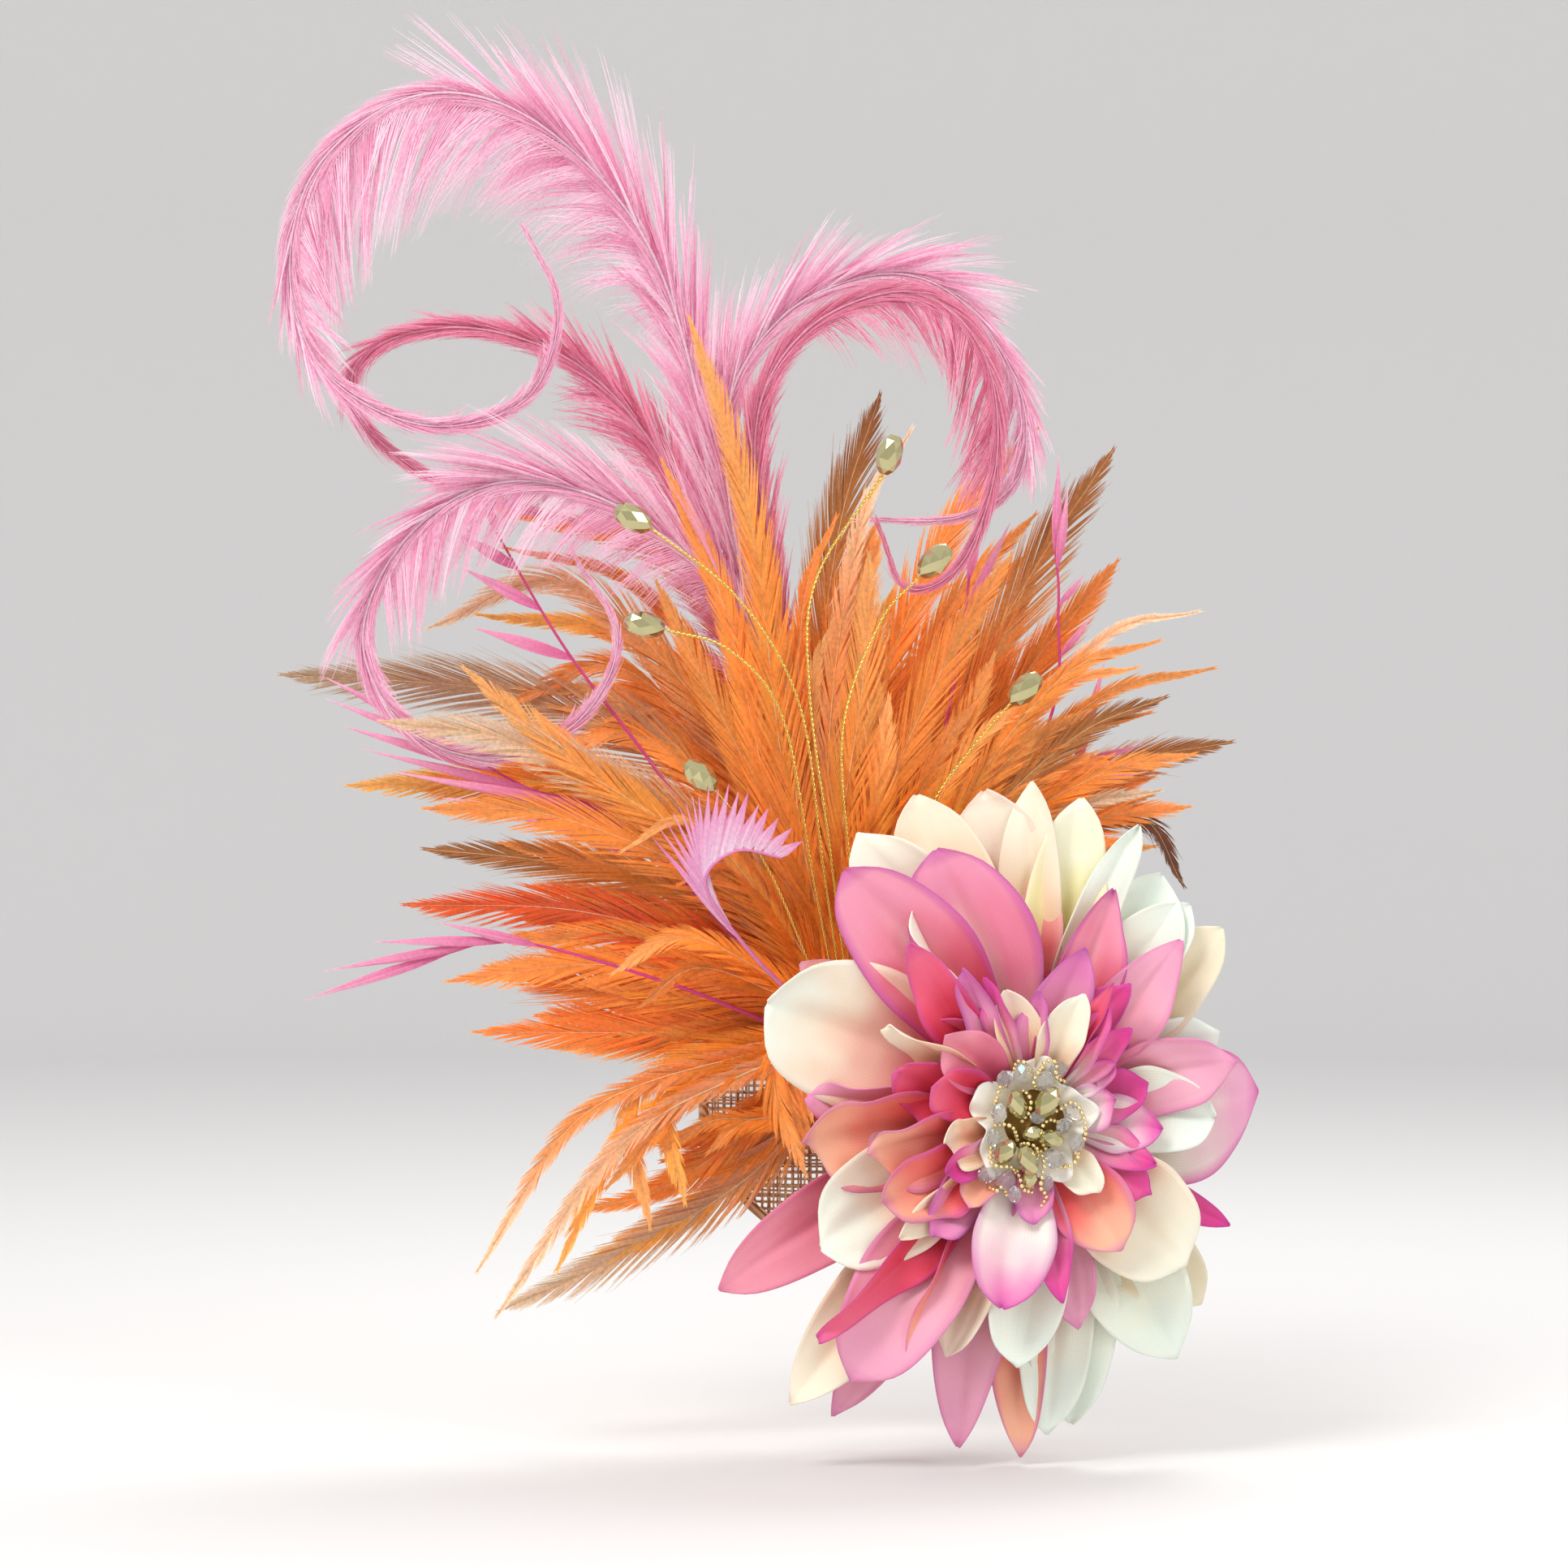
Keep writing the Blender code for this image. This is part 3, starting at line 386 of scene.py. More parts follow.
class FeatherBed:
    """Barb roots and quill lines with their values, as the feather tree reads them."""

    NUMBERS = ("barb_length", "barb_width", "quill_radius")
    VECTORS = ("barb_way", "barb_face", "barb_curve")
    COLOURS = ("root_colour", "tip_colour")

    def __init__(self):
        self.points = []
        self.lines = []
        self.values = {name: [] for name in (*self.NUMBERS, *self.VECTORS, *self.COLOURS, "is_barb")}

    def add_point(self, point, **values):
        self.points.append(point)
        for name, store in self.values.items():
            rest = 0.0 if name in self.NUMBERS else (0.0, 0.0, 1.0)
            if name in self.COLOURS:
                rest = (1.0, 1.0, 1.0, 1.0)
            store.append(values.get(name, False if name == "is_barb" else rest))

    def add_quill(self, quill, radius, tip_radius, colour, first=0, proud=0.0):
        start = len(self.points)
        last = len(quill.points) - 1
        for step in range(first, last + 1):
            share = step / last
            size = radius + (tip_radius - radius) * share
            place = quill.points[step] + quill.faces[step] * proud * MM
            self.add_point(place, quill_radius=size * MM, root_colour=colour, tip_colour=colour)
        self.lines += [(i, i + 1) for i in range(start, len(self.points) - 1)]

    def add_barb(self, quill, share, side, length, sweep, width, colours, cling=1.0, lift=0.1, sag=0.0):
        """Length and width in millimetres, sweep in radians from the quill, side +1 right or -1 left."""
        root, way, face = quill.at_share(share)
        reach = length * MM
        across = way.cross(face) * side
        leave = (way * math.cos(sweep) + across * math.sin(sweep) + face * lift).normalized()
        ahead, later_way, later_face = quill.at_share(share + reach * math.cos(sweep) / quill.length)
        aside = later_way.cross(later_face) * side * reach * math.sin(sweep)
        follow = ahead + aside + later_face * lift * reach
        curve = (follow - root - leave * reach) * cling + Vector((0, 0, -sag * MM))
        self.add_point(
            root, is_barb=True, barb_way=leave, barb_face=face, barb_curve=curve,
            barb_length=reach, barb_width=width * MM, root_colour=colours[0], tip_colour=colours[1],
        )

    def grow(self, name, material, segments, tip_share):
        """Runs the feather tree on these points and keeps the result as a plain mesh."""
        source = bpy.data.meshes.new(name + "_roots")
        source.from_pydata(self.points, self.lines, [])
        kinds = dict.fromkeys(self.NUMBERS, "FLOAT")
        kinds.update(dict.fromkeys(self.VECTORS, "FLOAT_VECTOR"))
        kinds.update(dict.fromkeys(self.COLOURS, "FLOAT_COLOR"))
        for label, kind in kinds.items():
            layer = source.attributes.new(label, kind, "POINT")
            flat = self.values[label]
            if kind != "FLOAT":
                flat = [c for value in flat for c in value]
            key = {"FLOAT": "value", "FLOAT_VECTOR": "vector", "FLOAT_COLOR": "color"}[kind]
            layer.data.foreach_set(key, flat)
        layer = source.attributes.new("is_barb", "BOOLEAN", "POINT")
        layer.data.foreach_set("value", self.values["is_barb"])
        values = {"Barb segments": segments, "Tip width share": tip_share, "Material": material}
        return realised(name, source, FEATHER_TREE, values)


def realised(name, source, tree, values):
    """Runs a geometry tree on a mesh and keeps the result as a plain mesh object at the origin."""
    carrier = bpy.data.objects.new(name + "_source", source)
    scene.collection.objects.link(carrier)
    modifier = carrier.modifiers.new("nodes", "NODES")
    modifier.node_group = tree
    for item in tree.interface.items_tree:
        if item.name in values:
            modifier[item.identifier] = values[item.name]
    graph = bpy.context.evaluated_depsgraph_get()
    result = carrier.evaluated_get(graph)
    mesh = bpy.data.meshes.new_from_object(result, preserve_all_data_layers=True, depsgraph=graph)
    carrier.modifiers.remove(modifier)
    bpy.data.objects.remove(carrier)
    for label in (*FeatherBed.NUMBERS, *FeatherBed.VECTORS, "is_barb"):
        if label in mesh.attributes:
            mesh.attributes.remove(mesh.attributes[label])
    mesh.name = name
    piece = bpy.data.objects.new(name, mesh)
    scene.collection.objects.link(piece)
    print(name, "has", len(mesh.polygons), "faces")
    return piece


def settle(piece, slot, *nodes):
    """Ties a finished piece to the body and hides the solids that it stands for. The slot is not used."""
    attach(piece, "root")
    if nodes:
        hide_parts(*nodes)


print("quill and barb helpers are ready")

# %% [markdown]
# Dyed feathers are keratin with dye in it, a little glossy, and their barbs catch the light along
# their length. The colour of each barb is stored on it, from its root to its tip, and the material
# only blends the two, with a fine streak of lighter and darker hairs.

# %% Feather materials
STREAK_SCALE = 900.0  # cells of 1.1 mm, the width of a clump of barbs


def glowing(tree, shader, colour, share):
    """Lets light through a thin sheet: its shader mixed with a translucent one of the same colour."""
    through = add_node(tree, "ShaderNodeBsdfTranslucent", {"Color": colour})
    both = add_node(tree, "ShaderNodeMixShader", {0: share, 1: shader.outputs[0], 2: through.outputs[0]})
    tree.links.new(both.outputs[0], tree.nodes["Material Output"].inputs["Surface"])


def feather_material(name, roughness, streak_low, streak_high, sheen):
    """Roughness and sheen as given, keratin's IOR, and a third of the light let through."""
    gloss = {"Roughness": roughness, "Sheen Weight": sheen, "Sheen Roughness": 0.4, "IOR": 1.54}
    material, tree, shader = new_material(name, gloss)
    root, tip, along = (
        add_node(tree, "ShaderNodeAttribute", attribute_name=label).outputs
        for label in ("root_colour", "tip_colour", "along")
    )
    mix = {0: along["Fac"], 6: root["Color"], 7: tip["Color"]}
    blend = add_node(tree, "ShaderNodeMix", mix, data_type="RGBA").outputs[2]
    noise_in = {"Vector": object_place(tree), "Scale": STREAK_SCALE, "Detail": 2.0}
    hairs = add_node(tree, "ShaderNodeTexNoise", noise_in).outputs["Fac"]
    shade = made(tree, "ShaderNodeMapRange", {0: hairs, 1: 0.3, 2: 0.7, 3: streak_low, 4: streak_high})
    streaked = made(tree, "ShaderNodeVectorMath", {0: blend, "Scale": shade}, operation="SCALE")
    tree.links.new(streaked, shader.inputs["Base Color"])
    glowing(tree, shader, streaked, 0.3)
    return material


HACKLE_FINISH = feather_material("dyed_keratin_hackle", 0.38, 0.9, 1.16, 0.06)
PLUME_FINISH = feather_material("dyed_keratin_plume", 0.45, 0.9, 1.12, 0.15)
print("feather finishes:", HACKLE_FINISH.name, PLUME_FINISH.name)

# %% [markdown]
# Every feather keeps the depth of its solid: back hackles lie against the base and lean away from
# the viewer, front hackles lean towards the viewer, and the wires stand further out still.

# %% Depth of the layers
BASE_DEPTH = 10
GAP = 0.3
PAD_CENTRE = (-12, 18)
PAD_RADIUS = 10
PAD_DEPTH = 4
SEAT_RADIUS = 9
FRONT_SEAT_RADIUS = 6
STEM_RADIUS = 0.8
WIRE_RADIUS = 0.5
BACK_PAD_Y = -BASE_DEPTH - GAP
STEM_Y = BACK_PAD_Y - PAD_DEPTH - GAP - STEM_RADIUS
FRONT_PAD_Y = STEM_Y - STEM_RADIUS - GAP
WIRE_Y = FRONT_PAD_Y - PAD_DEPTH - GAP - WIRE_RADIUS
FRONT_STEM_Y = FRONT_PAD_Y - PAD_DEPTH - GAP - STEM_RADIUS
QUILL_BEND = 60
LEVELS = 3
LEVEL_SHARE = 0.17
Slopes = namedtuple("Slopes", "near far level")
BACK_SLOPES = Slopes(0.02, -0.14, 0.02)
FRONT_SLOPES = Slopes(0.14, 0.05, 0.03)
WIRE_SLOPES = Slopes(0.34, 0.08, 0)


def layer_y(x, z, start_y, near_slope, far_slope):
    """Depth of a layer: one lean out to the bend of the quills, another past it."""
    distance = math.hypot(x - PAD_CENTRE[0], z - PAD_CENTRE[1])
    near = min(distance, QUILL_BEND)
    return start_y - near_slope * near - far_slope * (distance - near)


def seat_point(angle, radius):
    turn = math.radians(angle)
    return PAD_CENTRE[0] + radius * math.cos(turn), PAD_CENTRE[1] + radius * math.sin(turn)


print("depths:", BACK_PAD_Y, STEM_Y, FRONT_PAD_Y, WIRE_Y)

# %% [markdown]
# The hackles are dyed cock feathers: narrow, pointed and silky, bright orange, with a few deep
# brown or pale tips where the natural colour shows through. A row of the table gives the quill's
# shoulder, middle and tip as seen from the front, the vane's width and roll, and its colours.

# %% The hackle tables
Hackle = namedtuple("Hackle", "shoulder middle tip width roll dye")
Dye = namedtuple("Dye", "root body tip tip_start")
DYES = {
    "orange": Dye("#F28216", "#F99E38", "#F9AC5C", 0.75),
    "bright": Dye("#F98A10", "#FFA838", "#FFC47A", 0.7),
    "gold": Dye("#FC9006", "#FFAC26", "#FFC76C", 0.7),
    "deep": Dye("#DC6812", "#F0862A", "#F49844", 0.8),
    "red": Dye("#CC3E0C", "#E45C1E", "#E87034", 0.8),
    "brown_tip": Dye("#F08A28", "#F0A252", "#A06434", 0.68),
    "dark": Dye("#BC5C26", "#A25830", "#744228", 0.55),
    "pale": Dye("#F08A34", "#EDB27C", "#F5DDBE", 0.5),
    "pale_tip": Dye("#F07C14", "#F39A42", "#FCE4C4", 0.74),
    "grey_tip": Dye("#EA8434", "#D69A68", "#B49C84", 0.55),
}

BACK_HACKLES = (
    Hackle((-48, 88), (-110, 122), (-189, 130), 27, -12, "grey_tip"),
    Hackle((-45, 100), (-98, 157), (-143, 144), 17, 14, "pale_tip"),
    Hackle((-40, 105), (-78, 156), (-120, 169), 8, 10, "deep"),
    Hackle((-34, 108), (-68, 164), (-125, 182), 14, -10, "deep"),
    Hackle((-50, 56), (-100, 71), (-144, 76), 17, 12, "brown_tip"),
    Hackle((-46, 42), (-95, 57), (-150, 59), 20, -14, "red"),
    Hackle((-45, 29), (-85, 33), (-125, 40), 25, 10, "deep"),
    Hackle((-42, 20), (-80, 20), (-128, 20), 15, -10, "deep"),
    Hackle((-24, 100), (-17, 172), (-4, 216), 28, 12, "brown_tip"),
    Hackle((-10, 100), (14, 168), (45, 206), 18, -12, "orange"),
    Hackle((5, 92), (41, 158), (68, 199), 28, 10, "brown_tip"),
    Hackle((-8, 108), (4, 148), (20, 158), 14, -8, "pale_tip"),
    Hackle((26, 76), (68, 101), (104, 109), 20, 12, "brown_tip"),
    Hackle((32, 74), (74, 86), (89, 65), 14, -10, "dark"),
    Hackle((-42, -8), (-72, -28), (-100, -35), 10, 8, "orange"),
    Hackle((-42, -22), (-85, -49), (-121, -66), 17, -10, "pale"),
)
FRONT_HACKLES = (
    Hackle((-32, 90), (-44, 178), (-62, 236), 15, 12, "bright"),
    Hackle((-20, 100), (-11, 172), (5, 203), 9, -10, "pale_tip"),
    Hackle((-5, 84), (18, 138), (35, 165), 18, 12, "orange"),
    Hackle((15, 82), (60, 138), (91, 148), 7, 8, "pale_tip"),
    Hackle((14, 80), (49, 127), (79, 139), 9, -10, "orange"),
    Hackle((20, 80), (60, 121), (96, 131), 8, 10, "orange"),
    Hackle((24, 80), (54, 110), (81, 122), 17, -12, "brown_tip"),
    Hackle((28, 76), (60, 98), (90, 105), 14, 10, "orange"),
    Hackle((28, 72), (55, 89), (80, 94), 10, -8, "pale"),
    Hackle((-50, 70), (-95, 101), (-130, 131), 15, 14, "bright"),
    Hackle((-50, 74), (-108, 107), (-155, 115), 20, -14, "pale"),
    Hackle((-45, 68), (-63, 85), (-82, 76), 6, 8, "bright"),
    Hackle((-38, 38), (-64, 50), (-85, 39), 10, -10, "bright"),
    Hackle((-44, 14), (-94, -4), (-126, -51), 8, 10, "pale_tip"),
    Hackle((-46, 8), (-84, -14), (-120, -64), 8, -10, "pale"),
    Hackle((-48, 16), (-79, 1), (-74, -38), 12, 12, "bright"),
    Hackle((-36, -4), (-55, -6), (-70, -15), 8, -8, "orange"),
    Hackle((-34, 22), (-36, 2), (-27, -22), 11, 8, "bright"),
    Hackle((-34, 78), (-58, 128), (-72, 157), 14, 10, "orange"),
    Hackle((-16, 78), (-10, 124), (-8, 165), 18, 10, "bright"),
    Hackle((0, 76), (20, 112), (30, 135), 16, -12, "orange"),
    Hackle((-36, 58), (-60, 75), (-85, 92), 14, 12, "bright"),
)
print(len(BACK_HACKLES) + len(FRONT_HACKLES), "hackles")

# %% [markdown]
# Each barb runs out to the outline of its vane, which is full past the soft root and then drawn
# out to a point. Barbs hook together in small clumps whose tips meet, and each clump stands at an
# angle of its own, which splits the edge as it splits on a handled feather. A tied spray is
# several feathers deep, so shorter ones lie behind each listed feather, turned a few degrees
# about the pad.

# %% Growing the hackles
BARB_SPACING = 0.5  # millimetres; real barbs stand some 0.2 apart, too many to draw
UNDER_SPACING = 0.66
BARB_COVER = 0.72
CLUMP_BARBS = 6
CLUMP_PINCH = 1.3
VANE_START = 0.05
SHORTEST_BARB = 2.5
LONGEST_BARB = 54
EVEN_SHARE = 0.85
STRAY_SHARE = 0.05
STRAY_LENGTH = 1.22
PAD_START = 0.25
HACKLE_STEPS = 40
QUILL_GLEAM = (1, 0.82, 0.5, 1)
UNDER_DYES = ("orange", "orange", "bright", "gold", "deep")


def mixed(first, second, share):
    return tuple(a + (b - a) * share for a, b in zip(first, second))


def pad_angle(row):
    x, z = row.shoulder
    return (math.degrees(math.atan2(z - PAD_CENTRE[1], x - PAD_CENTRE[0])) + 90) % 360


def hackle_quill(row, start_y, near_slope, far_slope):
    points = []
    seat = seat_point(pad_angle(row) - 90, PAD_RADIUS / 2)
    for x, z in (seat, row.shoulder, row.middle, row.tip):
        points.append(at(x, layer_y(x, z, start_y, near_slope, far_slope), z))
    return Quill(points, HACKLE_STEPS, math.radians(row.roll))


def outline(share, width):
    """Half width of a vane: full past its soft root, then drawn out to a point."""
    if share >= 1:
        return 0.0
    return width / 2 * min(1, share / 0.25) ** 0.6 * (1 - share**4.2) ** 0.75


def barb_reach(share, sweep, width, quill_length):
    """The length at which a barb meets the vane's outline, found by halving."""
    low, high = 0.0, LONGEST_BARB
    for _ in range(9):
        middle = (low + high) / 2
        if middle * math.sin(sweep) < outline(share + middle * math.cos(sweep) / quill_length, width):
            low = middle
        else:
            high = middle
    return low


def grow_vane(bed, quill, width, dye, rng, spacing):
    """Barbs on both sides of one quill, one at each spacing in millimetres."""
    glow = rng.uniform(0.88, 1.12)
    root, body, tip = ((*[c * glow for c in linear(value)[:3]], 1) for value in (dye.root, dye.body, dye.tip))
    bed.add_quill(quill, 0.4, 0.1, mixed(body, QUILL_GLEAM, 0.45), first=3, proud=0.15)
    length = quill.length / MM
    count = round(length * (1 - VANE_START) / spacing)
    for side in (-1, 1):
        lean = stretch = shine = 0.0
        for step in range(count):
            part = step % CLUMP_BARBS / (CLUMP_BARBS - 1) - 0.5
            if step % CLUMP_BARBS == 0:
                lean = rng.gauss(0, 1.1)
                stretch = rng.uniform(0.93, 1.03) if rng.random() < EVEN_SHARE else rng.uniform(0.74, 1.1)
                shine = rng.uniform(-0.1, 0.12)
            share = VANE_START + (1 - VANE_START) * (step + rng.uniform(-0.3, 0.3)) / count
            sweep = math.radians(max(7, 22 - 10 * share + lean + CLUMP_PINCH * part + rng.uniform(-0.8, 0.8)))
            stray = STRAY_LENGTH if rng.random() < STRAY_SHARE else 1.0
            reach = max(SHORTEST_BARB, barb_reach(share, sweep, width, length))
            reach = reach * stretch * stray * rng.uniform(0.92, 1.02)
            fade = smooth_step(dye.tip_start - 0.15, 1.02, share + 0.12 * reach / LONGEST_BARB)
            base = mixed(mixed(root, body, min(1, share * 2)), tip, 0.75 * fade)
            colour = (*[c * (1 + shine + rng.uniform(-0.08, 0.08)) for c in base[:3]], 1)
            edge = mixed(colour, tip, 0.25 + 0.7 * fade)
            bed.add_barb(
                quill, share, side, reach, sweep, BARB_COVER * spacing * rng.uniform(0.8, 1.2),
                (colour, edge), cling=0.9, lift=0.1 + 0.06 * lean,
            )


def turned_row(row, degrees, reach):
    """The same hackle, turned about the pad and drawn in towards it."""
    turn = Matrix.Rotation(math.radians(degrees), 2)
    centre = Vector(PAD_CENTRE)
    moved = [centre + turn @ (Vector(point) - centre) * reach for point in row[:3]]
    return row._replace(shoulder=tuple(moved[0]), middle=tuple(moved[1]), tip=tuple(moved[2]))


def grow_hackles(name, rows, pad_y, slopes, unders, seed):
    bed = FeatherBed()
    rng = random.Random(seed)
    for index, row in enumerate(sorted(rows, key=pad_angle)):
        level = index % LEVELS
        start_y = pad_y - PAD_DEPTH * (PAD_START + LEVEL_SHARE * level)
        near = slopes.near + level * slopes.level
        quill = hackle_quill(row, start_y, near, slopes.far)
        grow_vane(bed, quill, row.width, DYES[row.dye], rng, BARB_SPACING)
        for _ in range(unders):
            under = turned_row(row, rng.uniform(-9, 9), rng.uniform(0.62, 0.88))
            back_y = start_y + rng.uniform(0, 0.6)
            quill = hackle_quill(under, back_y, near + rng.uniform(-0.02, 0.01), slopes.far)
            dye = DYES[rng.choice(UNDER_DYES)]
            grow_vane(bed, quill, max(row.width * rng.uniform(0.75, 1.0), 9), dye, rng, UNDER_SPACING)
    return bed.grow(name, HACKLE_FINISH, 3, 0.12)


BACK_LEFT = [row for row in BACK_HACKLES if row.tip[0] < -80]
BACK_RIGHT = [row for row in BACK_HACKLES if row.tip[0] >= -80]
FRONT_LEFT = [row for row in FRONT_HACKLES if row.tip[0] < -65]
FRONT_RIGHT = [row for row in FRONT_HACKLES if row.tip[0] >= -65]
for name, rows, pad_y, slopes, unders, seed, node in (
    ("back_hackles_left", BACK_LEFT, BACK_PAD_Y, BACK_SLOPES, 3, 11, "hackles_back"),
    ("back_hackles_right", BACK_RIGHT, BACK_PAD_Y, BACK_SLOPES, 5, 12, "hackles_back"),
    ("front_hackles_left", FRONT_LEFT, FRONT_PAD_Y, FRONT_SLOPES, 1, 13, "hackles_front"),
    ("front_hackles_right", FRONT_RIGHT, FRONT_PAD_Y, FRONT_SLOPES, 3, 14, "hackles_front"),
):
    settle(grow_hackles(name, rows, pad_y, slopes, unders, seed), "orange_feather", node)

# %% [markdown]
# The plumes are stripped and curled over a blade: the quill bends right round, and the barbs stay
# long and loose. On the way up they stand out as separate hairs. Round the curl most of them lie
# along the quill as a smooth band, and the inner ones hang into the loop. So each plume has a band
# of clinging barbs and several fringes, each with its own stretch, side, reach and sweep.

# %% The plume tables
Plume = namedtuple("Plume", "node seat curl half_width dye fringes")
Fringe = namedtuple("Fringe", "first last side reach sweep spacing cling sag")
PlumeDye = namedtuple("PlumeDye", "shade body glint")
LIGHT_PINK = PlumeDye("#DB6A9A", "#F2A0C6", "#FCE3EF")
DARK_PINK = PlumeDye("#C9486F", "#E4769A", "#F5B0C8")

PLUMES = (
    Plume(
        "plume_tall_left",
        106,
        (
            (-52, 150, -16), (-60, 215, -13), (-78, 266, -12), (-112, 300, -12), (-146, 306, -13),
            (-176, 284, -14), (-184, 250, -16), (-172, 220, -17), (-142, 205, -18),
            (-112, 213, -19), (-102, 240, -20), (-112, 264, -21),
        ),
        6.5,
        LIGHT_PINK,
        (
            Fringe(0.0, 0.34, 1, 54, 13, 0.42, 0.22, 0), Fringe(0.0, 0.2, -1, 32, 24, 0.5, 0.3, 0),
            Fringe(0.16, 0.34, -1, 38, 38, 0.4, 0.2, 18), Fringe(0.31, 0.57, -1, 34, 46, 0.32, 0.2, 19),
            Fringe(0.55, 0.68, -1, 22, 48, 0.55, 0.3, 7), Fringe(0.27, 0.42, 1, 44, 15, 1.6, 0.05, 0),
            Fringe(0.66, 0.92, -1, 12, 28, 0.7, 0.5, 2), Fringe(0.56, 0.72, 1, 26, 9, 0.9, 0.3, 2),
        ),
    ),
    Plume(
        "plume_low_left",
        140,
        (
            (-49, 146, -26), (-74, 174, -26), (-104, 187, -26), (-130, 184, -26), (-152, 165, -26),
            (-161, 138, -25), (-148, 113, -24), (-122, 104, -23), (-96, 115, -22),
            (-84, 140, -21), (-97, 165, -20),
        ),
        5.5,
        LIGHT_PINK,
        (
            Fringe(0.0, 0.34, 1, 46, 14, 0.4, 0.4, 0), Fringe(0.06, 0.48, -1, 26, 42, 0.4, 0.25, 10),
            Fringe(0.26, 0.52, 1, 32, 13, 0.6, 0.3, 2), Fringe(0.5, 0.85, -1, 12, 30, 0.7, 0.5, 2),
        ),
    ),
    Plume(
        "plume_middle_left",
        123,
        (
            (-52, 150, -12), (-70, 194, -8), (-96, 224, -6), (-130, 236, -5), (-160, 230, -4),
            (-166, 214, -4), (-150, 195, -5), (-122, 183, -6), (-90, 175, -7),
        ),
        5.5,
        DARK_PINK,
        (
            Fringe(0.0, 0.45, 1, 30, 17, 0.42, 0.4, 0), Fringe(0.0, 0.36, -1, 32, 24, 0.42, 0.3, 5),
            Fringe(0.42, 0.7, 1, 16, 14, 0.8, 0.5, 0),
        ),
    ),
    Plume(
        "plume_right_outer",
        90,
        (
            (-44, 148, -20), (-51, 206, -19), (-34, 238, -19), (-4, 251, -19), (20, 243, -20),
            (38, 216, -21), (38, 190, -22), (20, 177, -23), (-10, 176, -24),
        ),
        5.5,
        LIGHT_PINK,
        (
            Fringe(0.0, 0.26, -1, 34, 13, 0.45, 0.2, 0), Fringe(0.2, 0.62, -1, 36, 17, 0.42, 0.35, 0),
            Fringe(0.6, 0.8, -1, 20, 16, 0.6, 0.5, 3), Fringe(0.5, 0.82, 1, 20, 30, 0.7, 0.4, 6),
            Fringe(0.0, 0.2, 1, 24, 14, 0.6, 0.4, 0),
        ),
    ),
    Plume(
        "plume_right_inner",
        73,
        (
            (-36, 150, -25), (-42, 204, -25), (-26, 234, -25), (5, 245, -26), (26, 228, -27),
            (31, 196, -28), (21, 164, -29), (4, 155, -29), (-5, 174, -28),
        ),
        5.5,
        DARK_PINK,
        (
            Fringe(0.0, 0.3, 1, 26, 15, 0.5, 0.4, 0), Fringe(0.4, 0.75, 1, 24, 42, 0.5, 0.25, 9),
            Fringe(0.0, 0.3, -1, 24, 14, 0.6, 0.4, 0),
        ),
    ),
)
print(len(PLUMES), "plumes")

# %% [markdown]
# The band follows the quill's bend closely, so its barbs lie flat round the curl. A fringe grows in
# thin bundles whose hairs part at the quill and meet at the tip, as steamed barbs do, and gravity
# draws the long ones down. The hairs are 0.28 mm wide, wider than real ones, so that fewer of them
# cover the quill.

# %% Growing the plumes
SHOULDER_RISE = 3.5
CURL_START = 0.26
BAND_SPACING = 0.25
HAIR_WIDTH = 0.28
BUNDLE_HAIRS = 5
BUNDLE_SPREAD = 3.4
LONGEST_CLINGING = 36
PLUME_STEPS = 160


def hair_colours(dye, rng, light):
    """Root and tip colours of one hair: most are the body's colour, some darker, some a pale glint."""
    shade, body, glint = dye
    chance = rng.random()
    if chance < 0.3:
        colour = mixed(shade, body, rng.random())
    elif chance < 0.3 + light:
        colour = mixed(body, glint, rng.uniform(0.5, 1))
    else:
        colour = mixed(body, glint, rng.uniform(0, 0.35))
    return colour, mixed(colour, glint, 0.35)


def grow_band(bed, quill, row, dye, rng):
    """The barbs that cling along the curl."""
    count = round(quill.length * (1 - CURL_START) / (BAND_SPACING * MM))
    for side in (-1, 1):
        for step in range(count):
            curl_share = (step + rng.random()) / count
            taper = min(1, curl_share * 6) * (1 - curl_share) ** 0.6
            sweep = math.radians(rng.uniform(4, 12))
            length = max(4, row.half_width * taper / math.sin(sweep) * rng.uniform(0.5, 1.05))
            bed.add_barb(
                quill, CURL_START + (1 - CURL_START) * curl_share, side, min(length, LONGEST_CLINGING), sweep,
                HAIR_WIDTH, hair_colours(dye, rng, 0.2), cling=rng.uniform(0.86, 1.0),
                lift=rng.uniform(-0.1, 0.1),
            )


def grow_fringe(bed, quill, fringe, dye, rng):
    """Loose barbs in thin bundles whose hairs meet at their tips."""
    stretch = (fringe.last - fringe.first) * (1 - CURL_START) * quill.length
    bundles = max(3, round(stretch / (fringe.spacing * MM) * 2 / BUNDLE_HAIRS))
    for bundle in range(bundles):
        place = (bundle + rng.random()) / bundles
        fade = min(1, 0.45 + 4 * place, 0.45 + 4 * (1 - place))
        sweep = fringe.sweep + rng.gauss(0, 5)
        reach = fringe.reach * fade * rng.uniform(0.68, 1.08)
        cling = max(0, fringe.cling + rng.uniform(-0.12, 0.12))
        sag = fringe.sag * rng.uniform(0.5, 1.35)
        lift = rng.uniform(-0.3, 0.34)
        colours = hair_colours(dye, rng, 0.35)
        for hair in range(BUNDLE_HAIRS):
            part = hair / (BUNDLE_HAIRS - 1) - 0.5
            curl_share = fringe.first + (fringe.last - fringe.first) * place + part * 0.012
            share = CURL_START + (1 - CURL_START) * curl_share
            angle = math.radians(max(3, sweep + BUNDLE_SPREAD * part + rng.uniform(-1, 1)))
            bed.add_barb(
                quill, share, fringe.side, reach * rng.uniform(0.86, 1.04), angle, HAIR_WIDTH, colours,
                cling=cling, lift=lift + rng.uniform(-0.02, 0.02), sag=sag,
            )


